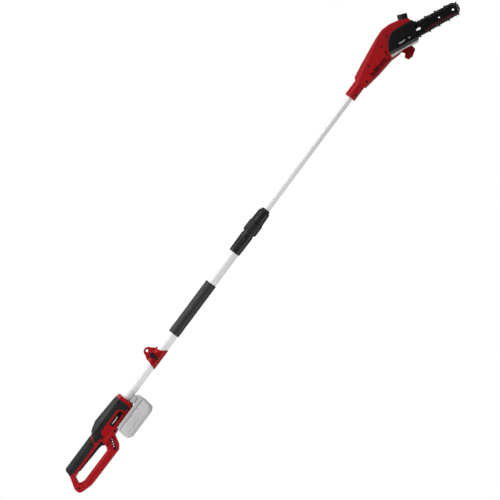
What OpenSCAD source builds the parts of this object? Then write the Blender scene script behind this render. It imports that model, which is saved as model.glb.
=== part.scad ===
// Telescoping pole saw: a battery handle, a two-stage pole with a twist lock, and a saw head.
// The pole runs along Z with the head up, the battery and the bar's droop are towards +X,
// and the chain cover is on the -Y side. The origin is on the pole's axis at the foam grip's middle.

/* [Pole] */
// Height of the foam grip's middle above the butt of the handle
grip_height = 753; // [700:1:800]
// Length of the lower tube
lower_len = 780; // [760:5:900]
// Outer diameter of the lower tube
lower_od = 36; // [34:0.5:38]
// Wall of the lower tube
lower_wall = 1.5; // [1:0.1:2]
// Length of the upper tube
upper_len = 930; // [880:5:960]
// Outer diameter of the upper tube
upper_od = 25; // [24:0.5:27]
// Wall of the upper tube
upper_wall = 1.5; // [1:0.1:2]
// Bare stretch of the upper tube between the lock and the head
extension = 489; // [400:1:560]
// Height of the lower tube's foot above the butt of the handle
tube_foot = 300; // [296:1:306]
// Length of the foam grip
foam_len = 220; // [160:5:240]
// Outer diameter of the foam grip
foam_od = 42; // [40:0.5:50]

/* [Twist lock] */
// Diameter of the lock's fixed base
lock_base_od = 43; // [41:0.5:46]
// Length of the lock's fixed base
lock_base_len = 78; // [60:1:90]
// Diameter of the lock sleeve's wide band
sleeve_od = 52; // [49:0.5:58]
// Length of the lock sleeve's wide band
sleeve_band = 45; // [35:1:55]
// Length of the lock sleeve's narrow end
sleeve_nose = 52; // [40:1:60]

/* [Handle] */
// Half width of the handle's body across Y
body_half = 28; // [26:0.5:32]
// Half width of the rear grip across Y
grip_half = 17; // [15:0.5:20]
// Half width of the hand guard across Y
guard_half = 14; // [12.5:0.5:16]
// Wall of the moulded housings
wall = 2.6; // [2:0.1:3]
// Thickness of the soft skins on the handle
skin = 1; // [0.6:0.1:1.4]
// Width of the trigger
trigger_w = 16; // [12:0.5:18]

/* [Battery] */
// Half width of the battery pack across Y
pack_half = 37.5; // [36:0.5:42]
// Diameter of one battery cell
cell_d = 18.4; // [17.5:0.1:18.6]
// Length of one battery cell
cell_len = 65; // [60:1:66]
// Travel of the battery pack on its rail
pack_rail = 73; // [60:1:76]

/* [Saw head] */
// Depth of the upper tube inside the head's socket
socket_depth = 45; // [35:1:55]
// Outer diameter of the head's socket
socket_od = 41; // [38:0.5:44]
// Distance from the pole's middle plane to the head's near face
head_near = 24; // [23.5:0.5:26]
// Distance from the pole's middle plane to the head's far face
head_far = 28; // [27:0.5:32]
// Diameter of the motor can
motor_d = 40; // [34:0.5:40]
// Length of the motor can
motor_len = 63; // [50:1:64]
// Diameter of the oil cap
cap_d = 36; // [33:0.5:38]
// Height of the oil cap
cap_h = 22; // [18:0.5:24]

/* [Bar and chain] */
// Angle of the bar away from the pole's axis
bar_angle = 24.3; // [22:0.1:27]
// Number of drive links in the chain
chain_links = 30; // [29:1:31]
// Spacing of the drive links
link_pitch = 19.05; // [18.5:0.05:19.5]
// Radius of the chain's pitch line around the bar's nose
nose_r = 20.5; // [19:0.5:22]
// Radius of the chain's pitch line around the drive sprocket
tail_r = 23.5; // [22:0.5:24]
// Thickness of the guide bar
bar_t = 4.4; // [3.6:0.1:5]
// Distance from the pole's middle plane to the bar's middle plane
bar_offset = 34; // [33:0.5:36]
// Distance from the pole's middle plane to the cover's outer face
cover_near = 47; // [45:0.5:50]

/* [Hidden] */
$fn = 64;
slide_gap = 0.05;          // running fit, each side
free_gap = 0.4;            // clear of a moving neighbour, each side
tiny = 0.01;
butt_z = -grip_height;
lower_top = butt_z + tube_foot + lower_len;
lock_z = lower_top - lock_base_len - 4;
sleeve_z = lock_z + lock_base_len + 8;
lock_top = sleeve_z + sleeve_band + sleeve_nose;
head_z = lock_top + 5 + extension;
upper_top = head_z + socket_depth;
upper_foot = upper_top - upper_len;
lower_r = lower_od / 2;
upper_r = upper_od / 2;
bush_len = 40;
coil_r = 4.5;
lead_r = 2.2;
coil_top = upper_top - (extension - 11) - 20;   // still inside the tubes when the pole is pushed in
collet_r = lower_r + 2.5;
carrier_z = butt_z + 544;
eye_r = 5;
eye_x = -40;
knob_x = -12;

// Outlines hold one [x, z, corner radius] for each corner, counter-clockwise.
// Handle outlines count z from the butt of the handle.
body_line = [[-24, 196, 12], [43, 194, 5], [45, 240, 5], [43, 264, 3], [38, 269, 2], [38, 335, 3],
             [41, 345, 4], [29, 362, 3], [-27, 362, 4], [-31, 335, 30], [-37, 235, 16]];
loop_line = [[-20, 36, 10], [4, 30, 14], [24, 17, 20], [50, 1, 24], [72, 0, 12], [87, 48, 60],
             [89, 206, 9], [76, 222, 10], [40, 242, 2], [-20, 242, 2]];
gap_line = [[24, 37, 8], [48, 26, 10], [57, 48, 20], [57.5, 178, 8], [50, 188, 6], [40, 194, 3],
            [22.5, 194, 2], [22, 62, 4]];
grip_core = [[-20 + wall, 40, 6], [6, 36, 6], [19.4, 40, 6], [19.4, 192, 3], [-20 + wall, 192, 3]];
wire_path = [[-16, 190, 1], [6, 190, 1], [6, 200, 1], [-16, 200, 1]];
guard_core = [[61, 30, 5], [80, 30, 5], [85, 52, 20], [85.5, 190, 5], [72, 190, 4], [61, 180, 4]];
trigger_line = [[9, 60, 4], [25, 60, 3], [27, 110, 40], [30, 168, 30], [33, 181, 6], [40, 186, 2],
                [40, 190, 1.5], [15, 190, 3], [13, 170, 4], [11, 80, 20]];
trigger_pivot = [13.5, 66];
grip_skin_line = [[-30, 30, 2], [8, 26, 2], [14.5, 48, 6], [14.5, 164, 4], [7, 167, 12], [-6, 175, 14],
                  [-18, 179, 6], [-30, 179, 2]];
body_skin_line = [[-45, 180, 2], [-16, 186, 4], [13, 172, 6], [15.5, 186, 2], [18, 206, 3], [10, 212, 8],
                  [4, 222, 6], [4, 312, 5], [10, 322, 6], [30, 325, 2], [31, 349, 2], [-45, 349, 2]];
handle_screw_at = [[-8, 241, body_half, 40], [0, 161, grip_half, 26], [2, 46, grip_half, 26],
                   [40, 250, guard_half, 22], [60, 14, guard_half, 22], [80, 200, guard_half, 22]];
clamp_screw_at = [[-7, 338, body_half, 9], [34, 341, body_half, 40]];
label_a = [[12, 257, 1.5], [28, 257, 1.5], [28, 318, 1.5], [12, 318, 1.5]];
label_b = [[38, 237, 1.5], [46, 228, 1.5], [80, 204, 1.5], [78, 194, 1.5], [40, 219, 1.5]];
case_line = [[54, 259, 2], [72, 257, 8], [92, 258, 9], [98, 270, 12], [98, 380, 16], [90, 395, 12],
             [54, 400, 2]];
lid_line = [[42, 266, 2], [54, 261, 1], [54, 399, 1], [27, 399, 7], [22, 390, 6], [22, 366, 3],
            [42, 366, 2]];
rail_foot = 272;

// Carrier outline counts z from the carrier's middle.
carrier_line = [[20.5, -41, 1], [20.5, 41, 1], [10, 32, 8], [0, 26.5, 12], [-15, 23.5, 3],
                [-18, 31, 1], [-21, 23, 2], [-33, 16, 10], [-46, 9, 8], [-52, -1, 9], [-48, -15, 9],
                [-30, -23, 8], [-20, -29, 3], [-5, -31, 10], [8, -35, 6]];

// Head outlines count z from the lower edge of the head's socket.
head_line = [[-22, 60, 2], [23, 60, 2], [33, 125, 40], [39, 195, 40], [48, 225, 30], [50, 262, 30],
             [44, 310, 20], [32, 343, 8], [0, 343, 4], [-25, 315, 3], [-41, 288, 16], [-51, 255, 18],
             [-49, 215, 30], [-36, 115, 60], [-28, 66, 5]];
hook_line = [[44, 234, 1], [62, 240, 6], [70, 227, 6], [84, 229, 7], [90, 246, 6], [82, 273, 6],
             [66, 276, 5], [44, 268, 1]];
cover_line = [[38, 198, 6], [44, 212, 12], [56, 249, 40], [80, 293, 7], [75, 307, 4], [46, 324, 14],
              [33, 343, 8], [17, 343, 4], [-6, 292, 40], [-15, 266, 16], [-8, 240, 20], [12, 211, 20]];
cover_label_line = [[22, 246, 2], [36, 232, 2], [62, 292, 3], [44, 306, 3]];
tank_line = [[-43, 226, 8], [-22, 214, 5], [-9.5, 222, 5], [-8.5, 300, 4], [-12, 322, 2],
             [-24, 308, 3], [-38, 286, 10], [-46, 254, 12]];
head_screw_at = [[-20, 248, 36], [-13, 206, 36], [-9, 126, 36], [18, 78, 36], [upper_r + 2.8, 18, 24]];
drive_at = [21, 259];
motor_tilt = 8.3;
cap_at = [-12.5, 329];
cap_lean = 48.5;           // lean of the filler's axis away from Z, towards -X
cap_turn = 16;             // lean of the filler's axis towards the near side
neck_r = 10;

pinion_teeth = 10;
crown_teeth = 30;
gear_module = 1.25;
pinion_r = pinion_teeth * gear_module / 2;
crown_r = crown_teeth * gear_module / 2;
crown_face = -pinion_r - 1.3;    // Y of the crown gear's root face
tooth_w = 1.25;

bar_len = (chain_links * link_pitch - 180 * (nose_r + tail_r) * PI / 180) / 2;
chain_tilt = asin((nose_r - tail_r) / bar_len);
tangent_len = bar_len * cos(chain_tilt);
nose_arc = (180 + 2 * chain_tilt) * PI / 180 * nose_r;
tail_arc = (180 - 2 * chain_tilt) * PI / 180 * tail_r;
loop_len = 2 * tangent_len + nose_arc + tail_arc;
link_step = loop_len / chain_links;
rail_drop = 3.2;           // from the chain's pitch line down to the bar's rail

// ---- outline tools ----
function flat(p) = [p[0], p[1]];
function unit(v) = v / norm(v);
function corner(a, b, c, r, n) =
    let (u = unit(a - b), w = unit(c - b), half = acos(max(-1, min(1, u * w))) / 2,
         t = min(r / tan(half), 0.49 * norm(a - b), 0.49 * norm(c - b)), rr = t * tan(half),
         mid = b + unit(u + w) * rr / sin(half), s = b + u * t - mid,
         start = atan2(s.y, s.x), side = cross(b - a, c - b) > 0 ? 1 : -1, sweep = 180 - 2 * half)
    sweep < 2 ? [b] : [for (k = [0 : n]) mid + rr * [cos(start + side * sweep * k / n),
                                                     sin(start + side * sweep * k / n)]];
function outline(line, n = 5) =
    let (m = len(line))
    [for (i = [0 : m - 1]) each corner(flat(line[(i + m - 1) % m]), flat(line[i]),
                                       flat(line[(i + 1) % m]), line[i][2], n)];
function inset(line, d) =
    let (m = len(line))
    [for (i = [0 : m - 1])
        let (b = flat(line[i]), e = unit(b - flat(line[(i + m - 1) % m])),
             f = unit(flat(line[(i + 1) % m]) - b), p = [-e.y, e.x], q = [-f.y, f.x],
             k = d / (1 + p * q), turn = cross(e, f) > 0 ? -d : d)
        [b.x + (p + q).x * k, b.y + (p + q).y * k, max(0.2, line[i][2] + turn)]];

// A plate in the XZ plane between two Y values
module plate(line, y0, y1) {
    translate([0, y1, 0]) rotate([90, 0, 0]) linear_extrude(y1 - y0) polygon(outline(line));
}
// A box from its low corner to its high corner
module block(lo, hi) {
    translate(lo) cube(hi - lo);
}
// A round bar along Y between two Y values
module y_rod(x, z, r, y0, y1) {
    translate([x, y1, z]) rotate([90, 0, 0]) cylinder(r = r, h = y1 - y0);
}
// A tube along Z
module pipe(r, hole_r, z0, z1) {
    translate([0, 0, z0]) difference() {
        cylinder(r = r, h = z1 - z0);
        translate([0, 0, -1]) cylinder(r = hole_r, h = z1 - z0 + 2);
    }
}
module at_butt() {
    translate([0, 0, butt_z]) children();
}
module at_head() {
    translate([0, 0, head_z]) children();
}
// The bar's own frame: X along the bar from the sprocket, Z across it
module at_bar() {
    at_head() translate([drive_at.x, -bar_offset, drive_at.y]) rotate([0, -90 + bar_angle, 0]) children();
}
// The motor's own frame: Z along its shaft towards the crown gear, from the sprocket's axis
module at_motor() {
    at_head() translate([drive_at.x, 0, drive_at.y]) rotate([0, motor_tilt, 0]) children();
}
// The oil filler's own frame: Z out through the cap, from the shoulder of the head
module at_cap() {
    at_head() translate([cap_at.x, 0, cap_at.y]) rotate([cap_turn, 0, 0]) rotate([0, -cap_lean, 0])
        children();
}

// ---- handle ----
module handle_solid(extra = 0) {
    plate(inset(body_line, -extra), -body_half - extra, tiny);
    difference() {
        plate(inset(loop_line, -extra), -grip_half - extra, tiny);
        block([40, -grip_half - 9, -9], [120, -guard_half - extra, 250]);
        plate(inset(gap_line, extra), -grip_half - 9, 9);
    }
}
module screw(x, z, face, length, head_r = 3.6) {
    y_rod(x, z, head_r, -face + 2, -face + 4.5);
    y_rod(x, z, 1.5, -face + 4.4, -face + length);
}
module screw_hole(x, z, face, length, head_r = 3.6) {
    y_rod(x, z, head_r + 0.3, -face - 2, -face + 4.5);
    y_rod(x, z, 1.55, -face + 4.4, -face + length + 0.4);
}
// The T-shaped rail that carries the battery pack, near half
module dock_rail() {
    block([37, -16, rail_foot], [45, 0, rail_foot + pack_rail]);
    block([45, -24, rail_foot], [49, 0, rail_foot + pack_rail]);
}
module handle_half() {
    difference() {
        union() {
            difference() {
                handle_solid();
                difference() {
                    plate(inset(body_line, wall), -body_half + wall, 1);
                    block([-40, -40, 303], [40, 2, 307]);
                    block([-40, -40, 343], [40, 2, 347]);
                    for (s = concat(handle_screw_at, clamp_screw_at))
                        y_rod(s[0], s[1], 5.4, -body_half, 1);
                }
                difference() {
                    plate(grip_core, -grip_half + wall, 1);
                    for (s = handle_screw_at) y_rod(s[0], s[1], 5.4, -grip_half, 1);
                }
                difference() {
                    plate(guard_core, -guard_half + wall, 1);
                    for (s = handle_screw_at) y_rod(s[0], s[1], 5.4, -guard_half, 1);
                }
                plate(wire_path, -grip_half + wall, 1);
            }
            dock_rail();
        }
        block([-90, 0, -20], [120, 9, 400]);
        translate([0, 0, tube_foot - 2]) cylinder(r = lower_r + 0.02, h = 90);
        block([15, -trigger_w / 2 - free_gap, 58], [32, 2, 192.5]);
        for (y = [-12, 0]) block([46.5, y - 3, rail_foot + 60], [47.3, y + 3, rail_foot + 90]);
        for (s = concat(handle_screw_at, clamp_screw_at)) screw_hole(s[0], s[1], s[2], s[3]);
    }
}
module handle_shell_near() {
    color("#c8102e") at_butt() difference() {
        handle_half();
        block([11 - free_gap, -body_half - 3, 198 - free_gap], [21 + free_gap, -19, 210 + free_gap]);
    }
}
module handle_shell_far() {
    color("#c8102e") at_butt() mirror([0, 1, 0]) difference() {
        handle_half();
        for (s = concat(handle_screw_at, clamp_screw_at))
            if (s[3] > s[2]) y_rod(s[0], s[1], 1.55, -(s[3] - s[2]) - 0.4, 1);
    }
}
// A soft skin: the part of the handle's outside that lies within one outline
module handle_skin(line) {
    for (side = [0, 1]) mirror([0, side, 0]) difference() {
        intersection() {
            handle_solid(skin);
            plate(line, -60, 0);
        }
        handle_solid();
        dock_rail();
        translate([0, 0, tube_foot]) cylinder(r = lower_r + 0.02, h = 90);
        for (s = concat(handle_screw_at, clamp_screw_at)) y_rod(s[0], s[1], 4.2, -60, -5);
        block([8, -60, 194], [23, 2, 214]);
        block([17, -60, 58], [32, 2, 192.5]);
    }
}
module grip_skin() {
    color("#2b2b2d") at_butt() handle_skin(grip_skin_line);
}
module body_skin() {
    color("#2b2b2d") at_butt() handle_skin(body_skin_line);
}
module rating_plate() {
    color("#1d1d1f") at_butt() plate(label_a, -body_half - 0.6, -body_half);
}
module info_label() {
    color("#1d1d1f") at_butt() difference() {
        plate(label_b, -guard_half - 0.6, -guard_half);
        plate(body_line, -60, 9);
        plate(gap_line, -60, 9);
        y_rod(40, 250, 4.2, -60, 0);
        y_rod(80, 200, 4.2, -60, 0);
    }
}
module handle_screws() {
    color("#55585c") at_butt() for (s = concat(handle_screw_at, clamp_screw_at))
        screw(s[0], s[1], s[2], s[3]);
}
module trigger() {
    color("#222224") at_butt() difference() {
        plate(trigger_line, -trigger_w / 2, trigger_w / 2);
        y_rod(trigger_pivot.x, trigger_pivot.y, 2 + slide_gap, -20, 20);
    }
}
module trigger_pin() {
    color("silver") at_butt()
        y_rod(trigger_pivot.x, trigger_pivot.y, 2, -grip_half + wall, grip_half - wall);
}
module trigger_spring() {
    color("silver") at_butt() for (k = [0 : 2])
        translate([trigger_pivot.x, trigger_w / 2 + 1.4 + 1.5 * k, trigger_pivot.y])
            rotate([90, 0, 0]) rotate_extrude() translate([3.4, 0]) circle(r = 0.6, $fn = 16);
}
module lock_off_button() {
    color("#222224") at_butt() {
        block([11, -body_half - 2, 198], [21, -21, 210]);
        block([9.5, -body_half + wall + free_gap, 198], [22.5, -21, 210]);
    }
}
module main_switch() {
    color("#303030") at_butt() {
        block([-14, -7, 167.5], [2, 7, 190]);
        block([-10, -4, 190], [-2, 4, 194]);
    }
}
module control_board() {
    color("#1f6b3a") at_butt() {
        block([-26, -20, 215], [-24.4, 20, 290]);
        for (k = [0 : 3]) block([-24.4, -17 + 9 * k, 262], [-18, -11 + 9 * k, 278]);
        translate([-24.5, -8, 225]) rotate([0, 90, 0]) translate([-12, 0, 0]) cylinder(r = 6, h = 9);
    }
}
module battery_terminals() {
    color("#c9a45a") at_butt() for (y = [-12, 0, 12])
        block([46.5, y - 3, rail_foot + 60], [47.3, y + 3, rail_foot + pack_rail + 10]);
}

// ---- battery ----
module battery_case() {
    color("#b9bcc0") at_butt() difference() {
        plate(case_line, -pack_half, pack_half);
        difference() {
            plate(inset(case_line, wall), -pack_half + wall, pack_half - wall);
            block([0, -60, 0], [54, 60, 500]);
        }
        block([50, -cell_len / 2 - 1, 262], [57, cell_len / 2 + 1, 396]);
    }
}
module battery_lid() {
    color("#a9acb1") at_butt() difference() {
        union() {
            plate(lid_line, -33, 33);
            intersection() {
                plate(lid_line, -pack_half, pack_half);
                block([42, -60, 200], [60, 60, 500]);
            }
        }
        block([41, -16 - free_gap, 200], [45, 16 + free_gap, rail_foot + pack_rail + 0.5]);
        block([44.6, -24 - free_gap, 200], [49.4, 24 + free_gap, rail_foot + pack_rail + 0.5]);
        for (y = [-12, 0, 12])
            block([46.1, y - 3.4, rail_foot + 60], [47.7, y + 3.4, rail_foot + pack_rail + 12]);
        for (side = [0, 1]) mirror([0, side, 0])
            block([27 - free_gap, -40, 372 - free_gap], [37 + free_gap, -24.5, 390 + free_gap]);
    }
}
module battery_cells() {
    color("#3f8f8a") at_butt() for (i = [0 : 1], j = [0 : 4])
        y_rod(66 + i * (cell_d + 0.6), 284 + j * (cell_d + 1.4), cell_d / 2, -cell_len / 2, cell_len / 2);
}
module pack_board() {
    color("#1f6b3a") at_butt() block([54.4, -28, 275], [56, 28, 385]);
}
module pack_latch() {
    block([27, -35, 372], [37, -28, 390]);
}
module pack_latch_near() {
    color("#8f9296") at_butt() pack_latch();
}
module pack_latch_far() {
    color("#8f9296") at_butt() mirror([0, 1, 0]) pack_latch();
}

// ---- pole ----
module lower_tube() {
    color("#e4e6e8") pipe(lower_r, lower_r - lower_wall, butt_z + tube_foot, lower_top);
}
module foam_grip() {
    color("#2c2c2e") translate([0, 0, -foam_len / 2]) rotate_extrude()
        polygon([[lower_r, 0], [foam_od / 2 - 1.5, 0], [foam_od / 2, 1.5], [foam_od / 2, foam_len - 1.5],
                 [foam_od / 2 - 1.5, foam_len], [lower_r, foam_len]]);
}
module lock_base() {
    r = lock_base_od / 2;
    color("#2a2a2c") difference() {
        translate([0, 0, lock_z]) rotate_extrude()
            polygon([[lower_r, 0], [r - 1.5, 0], [r - 0.5, 3], [r, 26], [r + 0.6, lock_base_len - 8],
                     [r + 0.6, lock_base_len], [lower_r, lock_base_len]]);
        for (k = [0 : 11]) rotate([0, 0, 30 * k]) translate([r + 1.2, 0, lock_z + 10])
            cylinder(r = 2, h = lock_base_len - 24, $fn = 24);
    }
}
module lock_collet() {
    color("#3a3a3d") difference() {
        union() {
            pipe(collet_r, upper_r + slide_gap, lower_top, lock_top - 12);
            pipe(collet_r, lower_r, lock_z + lock_base_len, lower_top);
        }
        for (k = [0 : 3]) rotate([0, 0, 45 + 90 * k])
            block([upper_r - 1, -0.8, lower_top + 8], [collet_r + 1, 0.8, lock_top]);
    }
}
module lock_sleeve() {
    r = sleeve_od / 2;
    inner = collet_r + slide_gap;
    nose = upper_od / 2 + 11;
    color("#262628") difference() {
        translate([0, 0, sleeve_z]) rotate_extrude()
            polygon([[inner, 0], [r - 2, 0], [r, 3], [r, sleeve_band - 3], [r - 2, sleeve_band - 0.5],
                     [nose - 1, sleeve_band], [nose, sleeve_band + 1.5],
                     [nose - 2, sleeve_band + sleeve_nose - 8], [nose - 5, sleeve_band + sleeve_nose - 3],
                     [upper_r + 4, sleeve_band + sleeve_nose - 3],
                     [upper_r + 4, sleeve_band + sleeve_nose - 10], [inner, sleeve_band + sleeve_nose - 10]]);
        for (k = [0 : 23]) rotate([0, 0, 15 * k]) translate([r + 1.1, 0, sleeve_z + 6])
            cylinder(r = 2, h = sleeve_band - 12, $fn = 24);
    }
}
module lock_wiper() {
    color("#1b1b1c") translate([0, 0, sleeve_z + sleeve_band + sleeve_nose]) rotate_extrude()
        polygon([[upper_r + slide_gap, -8], [upper_r + 3.9, -8], [upper_r + 3.9, 0], [upper_r + 2.4, 4.5],
                 [upper_r + slide_gap, 4.5]]);
}
// The stretching coil as a plain sleeve; the straight lead of the saw head slides inside it
module coiled_cable() {
    color("#202020") pipe(coil_r, lead_r + 0.5, butt_z + tube_foot + 25, coil_top);
}
module head_lead() {
    color("#202020") translate([0, 0, coil_top - 30])
        cylinder(r = lead_r, h = upper_top - 20 - (coil_top - 30), $fn = 24);
}
module upper_tube() {
    color("#d9dcdf") difference() {
        pipe(upper_r, upper_r - upper_wall, upper_foot, upper_top);
        for (k = [0 : 5]) rotate([0, 0, 30 + 60 * k])
            translate([upper_r + 0.7, 0, upper_foot + bush_len + 5])
                cylinder(r = 1.3, h = upper_len - bush_len - socket_depth - 10, $fn = 24);
    }
}
module guide_bush() {
    color("#f1f1ec") pipe(lower_r - lower_wall - slide_gap, upper_r, upper_foot, upper_foot + bush_len);
}

// ---- strap carrier ----
module strap_carrier() {
    color("#c8102e") translate([0, 0, carrier_z]) difference() {
        union() {
            intersection() {
                plate(carrier_line, -26, 26);
                translate([0, 0, -60]) cylinder(r = lower_r + 2.6, h = 120);
            }
            intersection() {
                plate(carrier_line, -12, 12);
                block([-31, -12, -60], [-10, 12, 60]);
            }
            intersection() {
                plate(carrier_line, -4, 4);
                block([-60, -4, -60], [-10, 4, 60]);
            }
            y_rod(knob_x, -4, 12, -26, -4);
        }
        translate([0, 0, -60]) cylinder(r = lower_r + slide_gap, h = 120);
        y_rod(eye_x, -4, eye_r, -20, 20);
        y_rod(knob_x, -4, 3 + slide_gap, -60, -5);
        block([-32, -0.8, -60], [-16, 0.8, -12]);
        block([-32, -0.8, 6], [-16, 0.8, 60]);
    }
}
module clamp_lever() {
    color("#222224") translate([0, 0, carrier_z - 4]) {
        y_rod(knob_x, 0, 9, -38, -26.4);
        y_rod(knob_x, 0, 3, -27, -19);
        translate([0, -29, 0]) rotate([90, 0, 0]) linear_extrude(6)
            polygon([[knob_x, -8], [knob_x + 16, -4.5], [knob_x + 26, -3.5], [knob_x + 27, 0],
                     [knob_x + 26, 3.5], [knob_x + 16, 4.5], [knob_x, 8]]);
    }
}

// ---- saw head ----
module head_half(face) {
    difference() {
        union() {
            difference() {
                plate(head_line, -face, 0);
                difference() {
                    plate(inset(head_line, wall), -face + wall, 1);
                    block([-60, -60, 60], [60, 1, 64]);
                    for (s = head_screw_at) y_rod(s[0], s[1], 5, -face, 0);
                }
            }
            intersection() {
                cylinder(r = socket_od / 2, h = 64);
                block([-60, -60, 0], [60, 0, 70]);
            }
        }
        translate([0, 0, -1]) cylinder(r = upper_r + 0.02, h = socket_depth + 1);
        cylinder(r = 8, h = 70);
    }
}
// The hole for the filler's neck, and the flat that the cap turns on, in the head's frame
module filler_hole() {
    translate([0, 0, -head_z]) at_cap() {
        cylinder(r = neck_r + 0.3, h = 40, center = true);
        translate([0, 0, 1]) cylinder(r = cap_d / 2 + 1.4, h = 30);
    }
}
module head_shell_near() {
    color("#c8102e") at_head() difference() {
        head_half(head_near);
        for (s = head_screw_at) screw_hole(s[0], s[1], s[1] < 60 ? 19 : head_near, s[2]);
        y_rod(drive_at.x, drive_at.y, 11.02, -30, -head_near + 5);
        filler_hole();
        translate([0, 0, -head_z]) at_bar() for (u = [44, 66]) y_rod(u, 0, 4, -60, 60);
        y_rod(4, 298, 2.3, -60, 0);
    }
}
module head_shell_far() {
    color("#c8102e") at_head() {
        mirror([0, 1, 0]) difference() {
            head_half(head_far);
            for (s = head_screw_at) y_rod(s[0], s[1], 1.55, -16, 1);
            mirror([0, 1, 0]) filler_hole();
        }
        difference() {
            plate(hook_line, 2, 16);
            plate(head_line, -60, 60);
            y_rod(81, 258, 2.6, -60, 60);
        }
    }
}
module head_screws() {
    color("#55585c") at_head() for (s = head_screw_at)
        screw(s[0], s[1], s[1] < 60 ? 19 : head_near, s[2]);
}
module motor_can() {
    r = motor_d / 2;
    color("#7c8086") at_motor() difference() {
        translate([0, 0, -55 - motor_len]) cylinder(r = r, h = motor_len);
        translate([0, 0, -55 - motor_len + 5]) cylinder(r = r - 2, h = motor_len - 10);
        translate([0, 0, -60 - motor_len]) cylinder(r = 6.02, h = motor_len + 10);
    }
}
module motor_rotor() {
    color("#a65a2a") at_motor() {
        translate([0, 0, -55 - motor_len + 1]) cylinder(r = 2.5, h = motor_len + 54 - 22.6);
        translate([0, 0, -55 - motor_len + 9]) cylinder(r = motor_d / 2 - 6, h = motor_len - 18);
    }
}
module motor_bearings() {
    color("silver") at_motor() for (z = [-55 - motor_len, -60])
        translate([0, 0, z]) difference() {
            cylinder(r = 6, h = 5);
            translate([0, 0, -1]) cylinder(r = 2.5 + slide_gap, h = 7);
        }
}
// One tooth of the pinion, standing on its root circle
module pinion_tooth() {
    polygon([[pinion_r - 1.4, -tooth_w * 0.62], [pinion_r, -tooth_w * 0.5],
             [pinion_r + 0.95, -tooth_w * 0.26], [pinion_r + 0.95, tooth_w * 0.26],
             [pinion_r, tooth_w * 0.5], [pinion_r - 1.4, tooth_w * 0.62]]);
}
module motor_pinion() {
    color("#8d8f93") at_motor() translate([0, 0, -22.5]) linear_extrude(6.8) {
        circle(r = pinion_r - 1.25);
        for (k = [0 : pinion_teeth - 1]) rotate([0, 0, -90 + 180 / pinion_teeth + 360 / pinion_teeth * k])
            pinion_tooth();
    }
}
module gear_case() {
    color("#9a9da1") difference() {
        at_head() difference() {
            y_rod(drive_at.x, drive_at.y, 25.2, -head_near + wall, 14);
            y_rod(drive_at.x, drive_at.y, 23.4, -15.5, 10);
            y_rod(drive_at.x, drive_at.y, 11.02, -head_near, -10);
            y_rod(drive_at.x, drive_at.y, 8.02, 0, 20);
        }
        at_motor() translate([0, 0, -40]) cylinder(r = 8, h = 30);
    }
}
// One tooth of the crown gear seen along its length, tapering up from the gear's face
module crown_tooth() {
    polygon([[-tooth_w * 0.35, -2.1], [tooth_w * 0.35, -2.1], [tooth_w * 0.62, 0.1], [-tooth_w * 0.62, 0.1]]);
}
module crown_gear() {
    color("#8d8f93") at_head() difference() {
        translate([drive_at.x, 0, drive_at.y]) rotate([90, 0, 0]) rotate([0, 0, 90 - motor_tilt]) {
            translate([0, 0, -crown_face]) cylinder(r = crown_r + 3.2, h = 4);
            for (k = [0 : crown_teeth - 1]) rotate([0, 0, 360 / crown_teeth * k])
                translate([crown_r - 3, 0, -crown_face]) rotate([90, 0, 90]) linear_extrude(6) crown_tooth();
        }
        y_rod(drive_at.x, drive_at.y, 4, -60, 60);
    }
}
module sprocket_shaft() {
    color("silver") at_head() y_rod(drive_at.x, drive_at.y, 4, -41, 13.5);
}
module shaft_bearings() {
    color("#c5c8cc") at_head() {
        difference() {
            y_rod(drive_at.x, drive_at.y, 11, -head_near + 1, -head_near + 8);
            y_rod(drive_at.x, drive_at.y, 4 + slide_gap, -60, 60);
        }
        difference() {
            y_rod(drive_at.x, drive_at.y, 8, 8, 14);
            y_rod(drive_at.x, drive_at.y, 4 + slide_gap, -60, 60);
        }
    }
}
module drive_sprocket() {
    color("#6f7276") at_head() difference() {
        union() {
            y_rod(drive_at.x, drive_at.y, 12, -38, -27);
            for (k = [0 : 5]) translate([drive_at.x, 0, drive_at.y]) rotate([0, 60 * k, 0])
                block([0, -38, -2.6], [tail_r - 6.5, -30, 2.6]);
        }
        y_rod(drive_at.x, drive_at.y, 4, -60, 60);
    }
}
module oil_tank() {
    color("#e8e4d6") difference() {
        union() {
            at_head() difference() {
                plate(tank_line, -19, 22);
                plate(inset(tank_line, 2), -17, 20);
                for (s = head_screw_at) y_rod(s[0], s[1], 5.2, -60, 60);
            }
            at_cap() translate([0, 0, -14]) cylinder(r = neck_r, h = 24);
        }
        at_cap() translate([0, 0, -16]) cylinder(r = neck_r - 2, h = 30);
    }
}
module oil_cap() {
    color("#1f1f21") at_cap() difference() {
        union() {
            translate([0, 0, 1.4]) cylinder(r = cap_d / 2 - 0.8, h = cap_h - 1.4);
            translate([0, 0, 1.4]) cylinder(r = cap_d / 2 + 0.6, h = 3);
            for (k = [0 : 23]) rotate([0, 0, 15 * k])
                block([cap_d / 2 - 2, -0.9, 4], [cap_d / 2, 0.9, cap_h - 1]);
        }
        translate([0, 0, -1]) cylinder(r = neck_r + slide_gap, h = 14);
    }
}
module cap_seal() {
    color("#111111") at_cap() translate([0, 0, 10.6]) difference() {
        cylinder(r = neck_r - 0.2, h = 2.4);
        translate([0, 0, -1]) cylinder(r = neck_r - 3, h = 5);
    }
}
module oil_pump() {
    color("#8a8c90") at_head() {
        block([-4, -18, 290], [14, -2, 306]);
        y_rod(4, 298, 4, -20.5, -17);
    }
}
module oil_line() {
    color("#d8c48a") at_head() difference() {
        y_rod(4, 298, 2.2, -bar_offset + bar_t / 2, -20.5);
        y_rod(4, 298, 1.2, -60, 0);
    }
}
module sprocket_cover() {
    color("#29292b") difference() {
        at_head() difference() {
            plate(cover_line, -cover_near, -head_near);
            plate(inset(cover_line, wall), -cover_near + wall, 0);
        }
        at_bar() block([20, -8, -33], [140, 20, 33]);
    }
}
module cover_label() {
    color("#1a1a1b") at_head() plate(cover_label_line, -cover_near - 0.6, -cover_near);
}

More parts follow.
